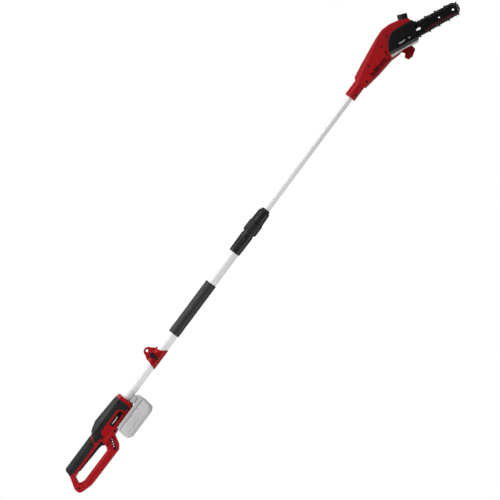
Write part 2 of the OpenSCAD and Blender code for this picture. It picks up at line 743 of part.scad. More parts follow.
// ---- bar and chain ----
module bar_plate() {
    color("#9b9ea2") difference() {
        at_bar() block([34, bar_t / 2, -11], [71.5, bar_offset - head_near, 11]);
        at_bar() for (u = [44, 66]) y_rod(u, 0, 4, -60, 60);
    }
}
module bar_stud() {
    color("silver") at_bar() for (u = [44, 66])
        y_rod(u, 0, 4, u < 50 ? -9 : -bar_t / 2, bar_offset - head_near + 4);
}
module bar_nut() {
    color("#6f7276") at_bar() difference() {
        translate([44, -bar_t / 2, 0]) rotate([90, 0, 0]) cylinder(r = 7.5, h = 6, $fn = 6);
        y_rod(44, 0, 4, -60, 60);
    }
}
module chain_tensioner() {
    color("silver") at_bar() {
        translate([24, 5, 14.5]) rotate([0, 90, 0]) cylinder(r = 2, h = 44);
        block([52, 3, 12.2], [58, 7, 17]);
    }
}
// The bar's outline in its own frame: half width h at each end, rounded nose
function bar_half(u, drop) = tail_r + (nose_r - tail_r) * u / bar_len - drop;
module bar_shape(drop) {
    difference() {
        union() {
            polygon([[30, -bar_half(30, drop)], [bar_len, -nose_r + drop], [bar_len, nose_r - drop],
                     [30, bar_half(30, drop)], [24, bar_half(30, drop) - 5], [24, 5 - bar_half(30, drop)]]);
            translate([bar_len, 0]) circle(r = nose_r - drop);
        }
        for (slot = [[40, 70], [78, 84]]) hull() for (u = slot) translate([u, 0]) circle(r = 4.05);
        translate([161.5, 0]) circle(r = 3);
        translate([bar_len, 0]) circle(r = 4);
    }
}
module guide_bar() {
    color("#1c1c1e") at_bar() {
        for (y = [-bar_t / 2, 0.75]) translate([0, y + bar_t / 2 - 0.75, 0]) rotate([90, 0, 0])
            linear_extrude(bar_t / 2 - 0.75) bar_shape(rail_drop);
        translate([0, 0.75, 0]) rotate([90, 0, 0]) linear_extrude(1.5) bar_shape(rail_drop + 6.5);
    }
}
// Point and heading on the chain's pitch line, s along the loop from the sprocket's upper tangent
function loop_spot(s) =
    s < tangent_len ? [tail_r * [-sin(chain_tilt), cos(chain_tilt)] + s * [cos(chain_tilt), sin(chain_tilt)],
                       chain_tilt]
    : s < tangent_len + nose_arc
        ? let (a = 90 + chain_tilt - (s - tangent_len) / nose_r * 180 / PI)
          [[bar_len, 0] + nose_r * [cos(a), sin(a)], a - 90]
    : s < 2 * tangent_len + nose_arc
        ? let (d = s - tangent_len - nose_arc)
          [[bar_len, 0] - nose_r * [sin(chain_tilt), cos(chain_tilt)]
           - d * [cos(chain_tilt), -sin(chain_tilt)], 180 - chain_tilt]
    : let (a = 270 - chain_tilt - (s - 2 * tangent_len - nose_arc) / tail_r * 180 / PI)
      [tail_r * [cos(a), sin(a)], a - 90];
module at_link(s) {
    spot = loop_spot(s % loop_len);
    translate([spot[0].x, 0, spot[0].y]) rotate([0, -spot[1], 0]) children();
}
module link_plate(points, y0, y1) {
    translate([0, y1, 0]) rotate([90, 0, 0]) linear_extrude(y1 - y0) polygon(points);
}
module drive_links() {
    color("#9da0a4") at_bar() for (k = [0 : chain_links - 1]) at_link(k * link_step)
        link_plate([[-6.6, -1], [-5.4, -2.2], [-2.5, -2.6], [-1.6, -6.2], [1.2, -6.2], [2.8, -2.6],
                    [5.4, -2.2], [6.6, -1], [6.6, 2.2], [5.2, 3.3], [-5.2, 3.3], [-6.6, 2.2]], -0.6, 0.6);
}
module side_links() {
    color("#b6b9bc") at_bar() for (k = [0 : chain_links - 1]) at_link((k + 0.5) * link_step) {
        tie = [[-6.8, -1.2], [-5.6, -2.9], [5.6, -2.9], [6.8, -1.2], [6.8, 2.2], [5.6, 3.6], [-5.6, 3.6],
               [-6.8, 2.2]];
        cutter = [[-6.8, -1.2], [-5.6, -2.9], [5.6, -2.9], [6.8, -1.2], [7.2, 5.6], [4.4, 6.2], [3.2, 3.2],
                  [-0.5, 3.2], [-1.6, 7.4], [-7.4, 8], [-7, 2]];
        cutter_top = [[-1.6, 6.2], [-1.6, 7.4], [-7.4, 8], [-7.4, 6.8]];
        link_plate(k % 4 == 0 ? cutter : tie, -1.9, -0.65);
        link_plate(k % 4 == 2 ? cutter : tie, 0.65, 1.9);
        if (k % 4 == 0) link_plate(cutter_top, -1.9, 1.6);
        if (k % 4 == 2) link_plate(cutter_top, -1.6, 1.9);
    }
}
module chain_rivets() {
    color("#808388") at_bar() for (k = [0 : chain_links - 1], e = [-4.76, 4.76])
        at_link(k * link_step + e) difference() {
            y_rod(0, 0, 1.5, -2.3, 2.3);
            y_rod(0, 0, 2, -1.9, 1.9);
        }
}

handle_shell_near();
handle_shell_far();
grip_skin();
body_skin();
rating_plate();
info_label();
handle_screws();
trigger();
trigger_pin();
trigger_spring();
lock_off_button();
main_switch();
control_board();
battery_terminals();
battery_case();
battery_lid();
battery_cells();
pack_board();
pack_latch_near();
pack_latch_far();
lower_tube();
foam_grip();
lock_base();
lock_collet();
lock_sleeve();
lock_wiper();
coiled_cable();
head_lead();
strap_carrier();
clamp_lever();
upper_tube();
guide_bush();
head_shell_near();
head_shell_far();
head_screws();
motor_can();
motor_rotor();
motor_pinion();
motor_bearings();
gear_case();
crown_gear();
sprocket_shaft();
shaft_bearings();
drive_sprocket();
oil_tank();
oil_cap();
cap_seal();
oil_pump();
oil_line();
sprocket_cover();
cover_label();
bar_plate();
bar_stud();
bar_nut();
chain_tensioner();
guide_bar();
drive_links();
side_links();
chain_rivets();
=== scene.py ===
import math

import bmesh
import bpy
from mathutils import Matrix, Vector


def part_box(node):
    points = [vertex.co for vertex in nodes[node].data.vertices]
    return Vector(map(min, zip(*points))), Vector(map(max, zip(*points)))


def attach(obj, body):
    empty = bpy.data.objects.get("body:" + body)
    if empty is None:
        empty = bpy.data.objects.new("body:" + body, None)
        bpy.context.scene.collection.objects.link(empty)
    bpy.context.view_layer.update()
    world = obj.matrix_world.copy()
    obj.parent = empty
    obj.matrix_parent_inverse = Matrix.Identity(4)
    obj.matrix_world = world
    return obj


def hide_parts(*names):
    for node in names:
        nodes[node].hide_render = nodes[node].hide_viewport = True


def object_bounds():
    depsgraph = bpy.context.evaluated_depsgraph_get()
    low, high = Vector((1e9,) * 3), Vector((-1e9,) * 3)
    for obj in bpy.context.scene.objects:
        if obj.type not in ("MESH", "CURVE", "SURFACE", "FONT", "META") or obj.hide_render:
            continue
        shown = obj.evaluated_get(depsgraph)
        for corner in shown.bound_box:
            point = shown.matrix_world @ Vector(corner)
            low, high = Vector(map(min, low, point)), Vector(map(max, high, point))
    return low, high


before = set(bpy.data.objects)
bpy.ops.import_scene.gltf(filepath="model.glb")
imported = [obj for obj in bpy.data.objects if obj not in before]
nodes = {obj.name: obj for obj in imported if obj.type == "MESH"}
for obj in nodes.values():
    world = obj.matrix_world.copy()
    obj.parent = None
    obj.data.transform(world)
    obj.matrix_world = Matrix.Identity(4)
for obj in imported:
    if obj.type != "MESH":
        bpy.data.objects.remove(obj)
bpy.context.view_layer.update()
print("frame loaded", len(nodes), "nodes")

mm = 0.001
yRot = Matrix.Rotation(math.radians(90), 4, "X")      # an outline drawn in XY stands up in XZ

viewSet = {
    "azimuth": 7.0,        # how far the camera stands towards the battery's side
    "lean": 36.7,          # how far the pole leans to the right in the view
    "width": 1.75,         # what the view spans at the pole, in metres
    "lens": 180.0,
    "acrossShift": 0.0388,
    "upShift": -0.0415,
}


def makeCamera(lo, hi):
    turn = math.radians(viewSet["azimuth"])
    lean = math.radians(viewSet["lean"])
    across = Vector((math.cos(turn), math.sin(turn), 0))
    back = Vector((math.sin(turn), -math.cos(turn), 0))
    along = Vector((0, 0, 1))
    right = across * math.cos(lean) + along * math.sin(lean)
    up = along * math.cos(lean) - across * math.sin(lean)
    data = bpy.data.cameras.new("camera")
    data.lens = viewSet["lens"]
    data.sensor_width = 36.0
    distance = viewSet["width"] * data.lens / data.sensor_width
    aim = across * viewSet["acrossShift"] + along * ((lo.z + hi.z) / 2 + viewSet["upShift"])
    camera = bpy.data.objects.new("camera", data)
    bpy.context.scene.collection.objects.link(camera)
    camera.matrix_world = Matrix((
        (right.x, up.x, back.x, aim.x + back.x * distance),
        (right.y, up.y, back.y, aim.y + back.y * distance),
        (right.z, up.z, back.z, aim.z + back.z * distance),
        (0, 0, 0, 1)))
    data.clip_end = distance * 4
    bpy.context.scene.camera = camera
    return right, up, back, aim


def makeLight(name, place, target, size, power, tint):
    data = bpy.data.lights.new(name, "AREA")
    data.shape = "RECTANGLE"
    data.size, data.size_y = size
    data.energy = power
    data.color = tint
    light = bpy.data.objects.new(name, data)
    bpy.context.scene.collection.objects.link(light)
    light.location = place
    light.rotation_mode = "QUATERNION"
    light.rotation_quaternion = (target - place).to_track_quat("-Z", "Y")


def makeStudio(lo, hi, right, up, back, aim):
    world = bpy.data.worlds.new("studio")
    bpy.context.scene.world = world
    world.use_nodes = True
    tree = world.node_tree
    tree.nodes.clear()
    out = tree.nodes.new("ShaderNodeOutputWorld")
    mix = tree.nodes.new("ShaderNodeMixShader")
    path = tree.nodes.new("ShaderNodeLightPath")
    fill = tree.nodes.new("ShaderNodeBackground")
    seen = tree.nodes.new("ShaderNodeBackground")
    fill.inputs["Color"].default_value = (0.95, 0.97, 1.0, 1)
    fill.inputs["Strength"].default_value = 0.24
    seen.inputs["Color"].default_value = (1, 1, 1, 1)
    seen.inputs["Strength"].default_value = 1.0
    tree.links.new(path.outputs["Is Camera Ray"], mix.inputs["Fac"])
    tree.links.new(fill.outputs["Background"], mix.inputs[1])
    tree.links.new(seen.outputs["Background"], mix.inputs[2])
    tree.links.new(mix.outputs["Shader"], out.inputs["Surface"])
    middle = (lo + hi) / 2
    makeLight("key", middle + back * 2.2 + up * 2.6 - right * 1.2, middle, (1.4, 2.2), 62, (1, 0.99, 0.97))
    makeLight("left", middle - right * 2.7 + back * 0.5 + up * 0.6, middle, (0.9, 2.4), 56, (1, 1, 1))
    makeLight("underside", middle + Vector((2.6, -0.6, -0.5)), middle, (1.2, 2.6), 34, (1, 0.98, 0.97))
    makeLight("rear", middle + Vector((-1.2, 2.8, 1.2)), middle, (1.6, 2.4), 30, (0.97, 0.98, 1))
    bpy.ops.mesh.primitive_circle_add(vertices=96, radius=0.6, fill_type="NGON",
                                      location=(0.03, 0, lo.z - 0.004))
    floor = bpy.context.object
    floor.name = "floor"
    floor.data.materials.append(floorPaint())


def floorPaint():
    paint, _, shader = blankPaint("floorPaint")
    shader.inputs["Base Color"].default_value = (0.16, 0.16, 0.16, 1)
    shader.inputs["Roughness"].default_value = 0.9
    shader.inputs["Emission Color"].default_value = (1, 1, 1, 1)
    shader.inputs["Emission Strength"].default_value = 0.9
    return paint


def blankPaint(name):
    paint = bpy.data.materials.new(name)
    paint.use_nodes = True
    tree = paint.node_tree
    return paint, tree, tree.nodes["Principled BSDF"]


def objectSpace(tree, scale=(1, 1, 1), turn=(0, 0, 0), place=(0, 0, 0)):
    where = tree.nodes.new("ShaderNodeTexCoord")
    mapping = tree.nodes.new("ShaderNodeMapping")
    mapping.inputs["Scale"].default_value = scale
    mapping.inputs["Rotation"].default_value = turn
    mapping.inputs["Location"].default_value = place
    tree.links.new(where.outputs["Object"], mapping.inputs["Vector"])
    return mapping.outputs["Vector"]


def noise(tree, space, scale, detail=3.0, rough=0.5):
    n = tree.nodes.new("ShaderNodeTexNoise")
    n.inputs["Scale"].default_value = scale
    n.inputs["Detail"].default_value = detail
    n.inputs["Roughness"].default_value = rough
    tree.links.new(space, n.inputs["Vector"])
    return n.outputs["Fac"]


def ramp(tree, fac, stops):
    r = tree.nodes.new("ShaderNodeValToRGB")
    while len(r.color_ramp.elements) < len(stops):
        r.color_ramp.elements.new(0.5)
    for element, (place, colour) in zip(r.color_ramp.elements, stops):
        element.position = place
        element.color = (*colour, 1)
    tree.links.new(fac, r.inputs["Fac"])
    return r.outputs["Color"]


def span(tree, fac, low, high):
    m = tree.nodes.new("ShaderNodeMapRange")
    m.inputs["To Min"].default_value = low
    m.inputs["To Max"].default_value = high
    tree.links.new(fac, m.inputs["Value"])
    return m.outputs["Result"]


def bump(tree, shader, height, strength, distance, after=None):
    b = tree.nodes.new("ShaderNodeBump")
    b.inputs["Strength"].default_value = strength
    b.inputs["Distance"].default_value = distance
    tree.links.new(height, b.inputs["Height"])
    if after is not None:
        tree.links.new(after, b.inputs["Normal"])
    tree.links.new(b.outputs["Normal"], shader.inputs["Normal"])
    return b.outputs["Normal"]


# Lighter edges from the surface's own pointiness: a painted highlight along convex edges.
def paintedEdgeHighlight(tree, base, edgeHighlight, strength=0.5):
    geo = tree.nodes.new("ShaderNodeNewGeometry")
    fac = tree.nodes.new("ShaderNodeMapRange")
    fac.inputs["From Min"].default_value = 0.52
    fac.inputs["From Max"].default_value = 0.62
    fac.inputs["To Max"].default_value = strength
    tree.links.new(geo.outputs["Pointiness"], fac.inputs["Value"])
    mix = tree.nodes.new("ShaderNodeMix")
    mix.data_type = "RGBA"
    mix.inputs["B"].default_value = (*edgeHighlight, 1)
    tree.links.new(fac.outputs["Result"], mix.inputs["Factor"])
    tree.links.new(base, mix.inputs["A"])
    return mix.outputs["Result"]


def mouldedPlastic(name, dark, light, rough=(0.34, 0.46), grain=0.12, grainSize=2600, edgeHighlight=None, sheen=0.0,
                   shine=0.5):
    paint, tree, shader = blankPaint(name)
    shader.inputs["Specular IOR Level"].default_value = shine
    space = objectSpace(tree)
    colour = ramp(tree, noise(tree, space, 9, 4), [(0.35, dark), (0.65, light)])
    # edgeHighlight is the colour of a painted highlight on the convex edges
    if edgeHighlight:
        colour = paintedEdgeHighlight(tree, colour, edgeHighlight, 0.35)
    tree.links.new(colour, shader.inputs["Base Color"])
    tree.links.new(span(tree, noise(tree, space, 45, 5), *rough), shader.inputs["Roughness"])
    fine = bump(tree, shader, noise(tree, space, grainSize, 2), grain, 0.00015)
    bump(tree, shader, noise(tree, space, 60, 2), 0.03, 0.0008, after=fine)
    shader.inputs["Sheen Weight"].default_value = sheen
    return paint


def metal(name, dark, light, rough=(0.25, 0.4), metallic=1.0, drawn=(1, 1, 1), lines=0.15):
    paint, tree, shader = blankPaint(name)
    shader.inputs["Metallic"].default_value = metallic
    space = objectSpace(tree, scale=drawn)
    tint = ramp(tree, noise(tree, space, 60, 4), [(0.3, dark), (0.7, light)])
    tree.links.new(tint, shader.inputs["Base Color"])
    tree.links.new(span(tree, noise(tree, space, 130, 4), *rough), shader.inputs["Roughness"])
    bump(tree, shader, noise(tree, space, 900, 3), lines, 0.0001)
    return paint


def paintsNow():
    # The edgeHighlight colours below are painted highlights on convex edges.
    return {
        "red": mouldedPlastic("redHousing", (0.34, 0.0025, 0.006), (0.4, 0.004, 0.009), (0.34, 0.46), 0.1,
                              2200, edgeHighlight=(0.46, 0.02, 0.022), shine=0.16),
        # a darker red: painted shade for the head's recessed panel
        "redPanelShade": mouldedPlastic("redRecessShade", (0.15, 0.0012, 0.003), (0.18, 0.0016, 0.004), (0.5, 0.6), 0.1,
                                  2200, shine=0.08),
        "softBlack": mouldedPlastic("softBlack", (0.011, 0.0112, 0.0116), (0.017, 0.0173, 0.0177), (0.42, 0.58),
                                    0.35, 1500, edgeHighlight=(0.045, 0.045, 0.045), shine=0.2),
        "black": mouldedPlastic("blackPlastic", (0.008, 0.008, 0.0085), (0.013, 0.013, 0.0135), (0.3, 0.42),
                                0.2, 1900, edgeHighlight=(0.04, 0.04, 0.04), shine=0.3),
        "coverBlack": mouldedPlastic("coverBlack", (0.004, 0.004, 0.0045), (0.007, 0.007, 0.0075), (0.34, 0.46),
                                     0.2, 2000, edgeHighlight=(0.03, 0.03, 0.03), shine=0.12),
        # grey and pale copies of the cover's black, for the painted reflection on its lower edge
        "coverReflectionGrey": mouldedPlastic("coverReflectionGrey", (0.045, 0.045, 0.046), (0.06, 0.06, 0.061), (0.35, 0.5),
                                    0.2, 1900),
        "coverReflectionPale": mouldedPlastic("coverReflectionPale", (0.5, 0.5, 0.505), (0.6, 0.6, 0.605), (0.3, 0.42), 0.15,
                                    1900),
        "packGrey": mouldedPlastic("packGrey", (0.55, 0.55, 0.555), (0.62, 0.62, 0.625), (0.42, 0.55), 0.12,
                                   1900),
        "packTrim": mouldedPlastic("packTrim", (0.48, 0.48, 0.485), (0.55, 0.55, 0.555), (0.36, 0.5), 0.12,
                                   1900),
        "poleWhite": metal("polePaint", (0.93, 0.932, 0.935), (0.96, 0.962, 0.965), (0.25, 0.36), 0.0,
                           (6, 6, 0.3), 0.05),
        "poleAlu": metal("poleAnodised", (0.9, 0.903, 0.907), (0.95, 0.952, 0.955), (0.28, 0.4), 0.05,
                         (9, 9, 0.2), 0.15),
        "steel": metal("groundSteel", (0.42, 0.42, 0.43), (0.62, 0.62, 0.63), (0.22, 0.42)),
        "chain": metal("chainSteel", (0.012, 0.012, 0.013), (0.045, 0.045, 0.048), (0.3, 0.5), 0.7),
        "screw": metal("darkScrew", (0.008, 0.008, 0.009), (0.02, 0.02, 0.022), (0.35, 0.5), 0.5),
        "brass": metal("contactBrass", (0.6, 0.42, 0.16), (0.75, 0.55, 0.24)),
        "copper": metal("windingCopper", (0.4, 0.15, 0.06), (0.6, 0.27, 0.12)),
        "cast": metal("dieCast", (0.4, 0.4, 0.41), (0.52, 0.52, 0.53), (0.45, 0.65), 0.9),
        "barBlack": mouldedPlastic("barEnamel", (0.003, 0.003, 0.0035), (0.006, 0.006, 0.0065), (0.36, 0.48),
                                   0.06, 1400, shine=0.1),
        "stripeRed": mouldedPlastic("stripeRed", (0.3, 0.006, 0.012), (0.36, 0.008, 0.016), (0.3, 0.4), 0.05),
        "label": mouldedPlastic("labelFilm", (0.003, 0.003, 0.0035), (0.005, 0.005, 0.0055), (0.2, 0.3), 0.04,
                                shine=0.15),
        "mark": mouldedPlastic("paleMark", (0.72, 0.72, 0.72), (0.8, 0.8, 0.8), (0.35, 0.45), 0.05),
        "board": mouldedPlastic("circuitBoard", (0.02, 0.12, 0.05), (0.03, 0.17, 0.07), (0.3, 0.4), 0.1),
        "cell": mouldedPlastic("cellSleeve", (0.04, 0.2, 0.19), (0.06, 0.26, 0.24), (0.2, 0.3), 0.05),
        "tank": mouldedPlastic("tankNatural", (0.68, 0.65, 0.55), (0.74, 0.71, 0.62), (0.4, 0.5), 0.1),
        "white": mouldedPlastic("acetal", (0.74, 0.74, 0.71), (0.8, 0.8, 0.77), (0.4, 0.5), 0.1),
        "rubber": mouldedPlastic("sealRubber", (0.01, 0.01, 0.01), (0.016, 0.016, 0.016), (0.6, 0.75), 0.3,
                                 1200),
    }


def foamPaint():
    paint, tree, shader = blankPaint("foamRubber")
    space = objectSpace(tree)
    tint = ramp(tree, noise(tree, space, 260, 6, 0.7),
                [(0.3, (0.01, 0.01, 0.0105)), (0.7, (0.026, 0.026, 0.027))])
    tree.links.new(tint, shader.inputs["Base Color"])
    tree.links.new(span(tree, noise(tree, space, 90, 3), 0.5, 0.66), shader.inputs["Roughness"])
    cells = tree.nodes.new("ShaderNodeTexVoronoi")
    cells.inputs["Scale"].default_value = 950
    tree.links.new(space, cells.inputs["Vector"])
    fine = bump(tree, shader, cells.outputs["Distance"], 0.5, 0.0004)
    bump(tree, shader, noise(tree, space, 160, 4), 0.25, 0.0007, after=fine)
    shader.inputs["Sheen Weight"].default_value = 0.04
    shader.inputs["Sheen Roughness"].default_value = 0.6
    return paint


def linkMesh(name, bm, paint, smooth=True):
    mesh = bpy.data.meshes.new(name)
    bmesh.ops.recalc_face_normals(bm, faces=bm.faces)
    bm.to_mesh(mesh)
    bm.free()
    piece = bpy.data.objects.new(name, mesh)
    bpy.context.scene.collection.objects.link(piece)
    if paint:
        mesh.materials.append(paint)
    for face in mesh.polygons:
        face.use_smooth = smooth
    return piece


def bakeModifiers(piece):
    bpy.context.view_layer.update()
    shaped = bpy.data.meshes.new_from_object(piece.evaluated_get(bpy.context.evaluated_depsgraph_get()))
    old = piece.data
    piece.modifiers.clear()
    piece.data = shaped
    bpy.data.meshes.remove(old)
    return piece


def smoothByAngle(piece, degrees=35):
    for face in piece.data.polygons:
        face.use_smooth = True
    piece.data.set_sharp_from_angle(angle=math.radians(degrees))


# One flat face in XZ from [x, z, radius] corners in mm, each rounded by its own radius.
def cornerFace(bm, corners):
    verts = [bm.verts.new((x * mm, 0, z * mm)) for x, z, r in corners]
    face = bm.faces.new(verts)
    radii = [c[2] for c in corners]
    places = [v.co.copy() for v in verts]
    for i, r in enumerate(radii):
        if r <= 0:
            continue
        a, b, c = places[i - 1], places[i], places[(i + 1) % len(places)]
        half = (a - b).angle(c - b) / 2
        reach = min(r * mm / math.tan(half), 0.48 * (a - b).length, 0.48 * (c - b).length)
        corner = min((v for v in bm.verts if v.is_valid), key=lambda v: (v.co - b).length)
        bmesh.ops.bevel(bm, geom=[corner], offset=reach, offset_type="OFFSET", affect="VERTICES",
                        segments=6, profile=0.5, material=-1)
    return face


# The closed solid that a single face sweeps as it moves by a vector
def pushed(bm, way):
    side = bmesh.ops.extrude_face_region(bm, geom=list(bm.faces))
    bmesh.ops.translate(bm, verts=[g for g in side["geom"] if isinstance(g, bmesh.types.BMVert)], vec=way)
    bmesh.ops.recalc_face_normals(bm, faces=bm.faces)
    return bm


# A closed plate between two Y values in mm, lifted along Z by lift in metres.
def prismMesh(corners, y0, y1, lift=0.0):
    bm = bmesh.new()
    cornerFace(bm, corners)
    bmesh.ops.translate(bm, verts=bm.verts, vec=(0, y0 * mm, lift))
    return pushed(bm, (0, (y1 - y0) * mm, 0))


def rodMesh(x, z, r, y0, y1, lift=0.0, segments=48):
    bm = bmesh.new()
    spot = Matrix.Translation((x * mm, (y0 + y1) / 2 * mm, z * mm + lift))
    bmesh.ops.create_cone(bm, cap_ends=True, segments=segments, radius1=r * mm, radius2=r * mm,
                          depth=(y1 - y0) * mm, matrix=spot @ yRot)
    return bm


def boxMesh(lo, hi, lift=0.0):
    bm = bmesh.new()
    bmesh.ops.create_cube(bm, size=1.0)
    size = Vector(hi) - Vector(lo)
    bmesh.ops.scale(bm, vec=size * mm, verts=bm.verts)
    bmesh.ops.translate(bm, vec=(Vector(lo) + size / 2) * mm + Vector((0, 0, lift)), verts=bm.verts)
    return bm


# A closed ring or disc from [r, z] corners in mm, turned about Z.
def spunMesh(profile, steps=96, lift=0.0):
    bm = bmesh.new()
    verts = [bm.verts.new((r * mm, 0, z * mm + lift)) for r, z in profile]
    edges = [bm.edges.new((a, b)) for a, b in zip(verts, verts[1:] + verts[:1])]
    bmesh.ops.spin(bm, geom=verts + edges, cent=(0, 0, 0), axis=(0, 0, 1), angle=2 * math.pi, steps=steps,
                   use_merge=True, use_duplicate=False)
    bmesh.ops.remove_doubles(bm, verts=bm.verts, dist=1e-6)
    return bm


def joinMeshes(*parts):
    whole = bmesh.new()
    for part in parts:
        temp = bpy.data.meshes.new("part")
        part.to_mesh(temp)
        part.free()
        whole.from_mesh(temp)
        bpy.data.meshes.remove(temp)
    return whole


# A piece's shape as a loose mesh, with the piece itself removed
def takeMesh(piece):
    bm = bmesh.new()
    bm.from_mesh(piece.data)
    bpy.data.objects.remove(piece)
    return bm


def carve(piece, *cutters, operation="DIFFERENCE"):
    for cutter in cutters:
        tool = linkMesh("cutter", cutter, None)
        step = piece.modifiers.new("cut", "BOOLEAN")
        step.operation = operation
        step.solver = "EXACT"
        step.object = tool
        bakeModifiers(piece)
        bpy.data.objects.remove(tool)
    return piece


# Blends a solid into one moulded skin with rounded edges.
def soften(piece, voxel, passes):
    step = piece.modifiers.new("blend", "REMESH")
    step.mode = "VOXEL"
    step.voxel_size = voxel * mm
    step.use_smooth_shade = True
    bakeModifiers(piece)
    bm = bmesh.new()
    bm.from_mesh(piece.data)
    for _ in range(passes):
        bmesh.ops.smooth_vert(bm, verts=bm.verts, factor=0.5, use_axis_x=True, use_axis_y=True,
                              use_axis_z=True)
    bm.to_mesh(piece.data)
    bm.free()
    for face in piece.data.polygons:
        face.use_smooth = True
    return piece


def copyPiece(piece, name):
    twin = piece.copy()
    twin.data = piece.data.copy()
    twin.name = name
    bpy.context.scene.collection.objects.link(twin)
    return twin


# The half of a solid on one side of the parting plane, with a hairline left at the seam.
def halfOf(piece, name, side, gap=0.12):
    twin = copyPiece(piece, name)
    bm = bmesh.new()
    bm.from_mesh(twin.data)
    bmesh.ops.bisect_plane(bm, geom=list(bm.verts) + list(bm.edges) + list(bm.faces),
                           plane_co=(0, side * gap * mm, 0), plane_no=(0, -side, 0), clear_outer=True)
    rim = [e for e in bm.edges if e.is_boundary]
    bmesh.ops.triangle_fill(bm, edges=rim, use_beauty=True)
    bmesh.ops.recalc_face_normals(bm, faces=bm.faces)
    bm.to_mesh(twin.data)
    bm.free()
    for face in twin.data.polygons:
        face.use_smooth = True
    twin.data.set_sharp_from_angle(angle=math.radians(50))
    return twin


# A CAD node's own shape with its doubles merged and its sharp edges broken.
def nodeCopy(node, name, paint, bevel=0.3, segments=2, angle=30):
    bm = bmesh.new()
    bm.from_mesh(nodes[node].data)
    bmesh.ops.remove_doubles(bm, verts=bm.verts, dist=1e-6)
    bmesh.ops.dissolve_limit(bm, angle_limit=math.radians(1), verts=bm.verts, edges=bm.edges)
    bmesh.ops.recalc_face_normals(bm, faces=bm.faces)
    piece = linkMesh(name, bm, paint)
    if bevel:
        step = piece.modifiers.new("edge", "BEVEL")
        step.width = bevel * mm
        step.segments = segments
        step.limit_method = "ANGLE"
        step.angle_limit = math.radians(angle)
        step.use_clamp_overlap = True
        step.harden_normals = False
        bakeModifiers(piece)
    smoothByAngle(piece, 35)
    return piece


# Cuts the faces near a plane along it, so that a change of paint there runs straight
def splitFaces(bm, spot, normal, chosen):
    faces = [f for f in bm.faces if chosen(f.calc_center_median())]
    edges = {e for f in faces for e in f.edges}
    verts = {v for f in faces for v in f.verts}
    bmesh.ops.bisect_plane(bm, geom=faces + list(edges) + list(verts), plane_co=spot, plane_no=normal)


# Faces square to Y keep a flat shade, so that a broad plate stays even.
def flatSides(piece):
    for face in piece.data.polygons:
        if abs(face.normal.y) > 0.999:
            face.use_smooth = False


def repaint(piece, *keys):
    piece.data.materials.clear()
    for key in keys:
        piece.data.materials.append(paints[key])


def place(piece, body, slot, *replaced):
    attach(piece, body)
    if replaced:
        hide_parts(*replaced)
    return piece


# The outline with every corner of at least that radius turned into an arc.
def rounded(corners, least, steps=5):
    points = []
    for i, (x, z, r) in enumerate(corners):
        b = Vector((x, z))
        toA, toC = Vector(corners[i - 1][:2]) - b, Vector(corners[(i + 1) % len(corners)][:2]) - b
        half = toA.angle(toC) / 2
        reach = min(r / math.tan(half), 0.49 * toA.length, 0.49 * toC.length)
        if r < least or reach < 0.5:
            points.append((x, z))
            continue
        middle = b + (toA.normalized() + toC.normalized()).normalized() * (reach / math.cos(half))
        start, end = b + toA.normalized() * reach - middle, b + toC.normalized() * reach - middle
        sweep = start.angle_signed(end)
        for k in range(steps + 1):
            turn = Matrix.Rotation(-sweep * k / steps, 2)
            spot = middle + turn @ start
            points.append((spot.x, spot.y))
    return points


# A plate in XZ whose two faces step in by (across, through) bevels, in mm.
def pillow(corners, y0, y1, nearSteps, farSteps, lift, least=10):
    bm = bmesh.new()
    nearDepth = sum(depth for _, depth in nearSteps)
    farDepth = sum(depth for _, depth in farSteps)
    bm.faces.new([bm.verts.new((x * mm, (y0 + nearDepth) * mm, z * mm + lift))
                  for x, z in rounded(corners, least)])
    pushed(bm, (0, (y1 - farDepth - y0 - nearDepth) * mm, 0))
    bm.normal_update()
    for steps, way in ((nearSteps, -1), (farSteps, 1)):
        cap = [f for f in bm.faces if f.normal.y * way > 0.99]
        for across, through in steps:
            bmesh.ops.inset_individual(bm, faces=cap, thickness=across * mm, depth=through * mm,
                                       use_even_offset=True)
    return bm


# The outline moved outwards by a distance in mm.
def grown(corners, by):
    out = []
    for i, (x, z, r) in enumerate(corners):
        b = Vector((x, z))
        e = (b - Vector(corners[i - 1][:2])).normalized()
        f = (Vector(corners[(i + 1) % len(corners)][:2]) - b).normalized()
        p, q = Vector((e.y, -e.x)), Vector((f.y, -f.x))
        move = (p + q) * (by / (1 + p.dot(q)))
        out.append((b.x + move.x, b.y + move.y, r))
    return out


# A prism along Z from [x, y] corners in mm.
def columnMesh(points, z0, z1, lift=0.0):
    bm = bmesh.new()
    bm.faces.new([bm.verts.new((x * mm, y * mm, z0 * mm + lift)) for x, y in points])
    return pushed(bm, (0, 0, (z1 - z0) * mm))


# Turns a mesh drawn about the origin by an angle about Y and puts it at x, z.
def tiltedMesh(bm, angle, x, z, lift):
    bmesh.ops.transform(bm, verts=bm.verts, matrix=Matrix.Translation((x * mm, 0, z * mm + lift))
                        @ Matrix.Rotation(math.radians(angle), 4, "Y"))
    return bm


def mirrored(points):
    return [(x, -y) for x, y in points]


# A CAD node's own shape blended into one moulded skin.
def moulded(node, name, body, slot, key, voxel, passes=2):
    piece = nodeCopy(node, name, paints[key], bevel=0)
    soften(piece, voxel, passes)
    repaint(piece, key)
    return place(piece, body, slot, node)


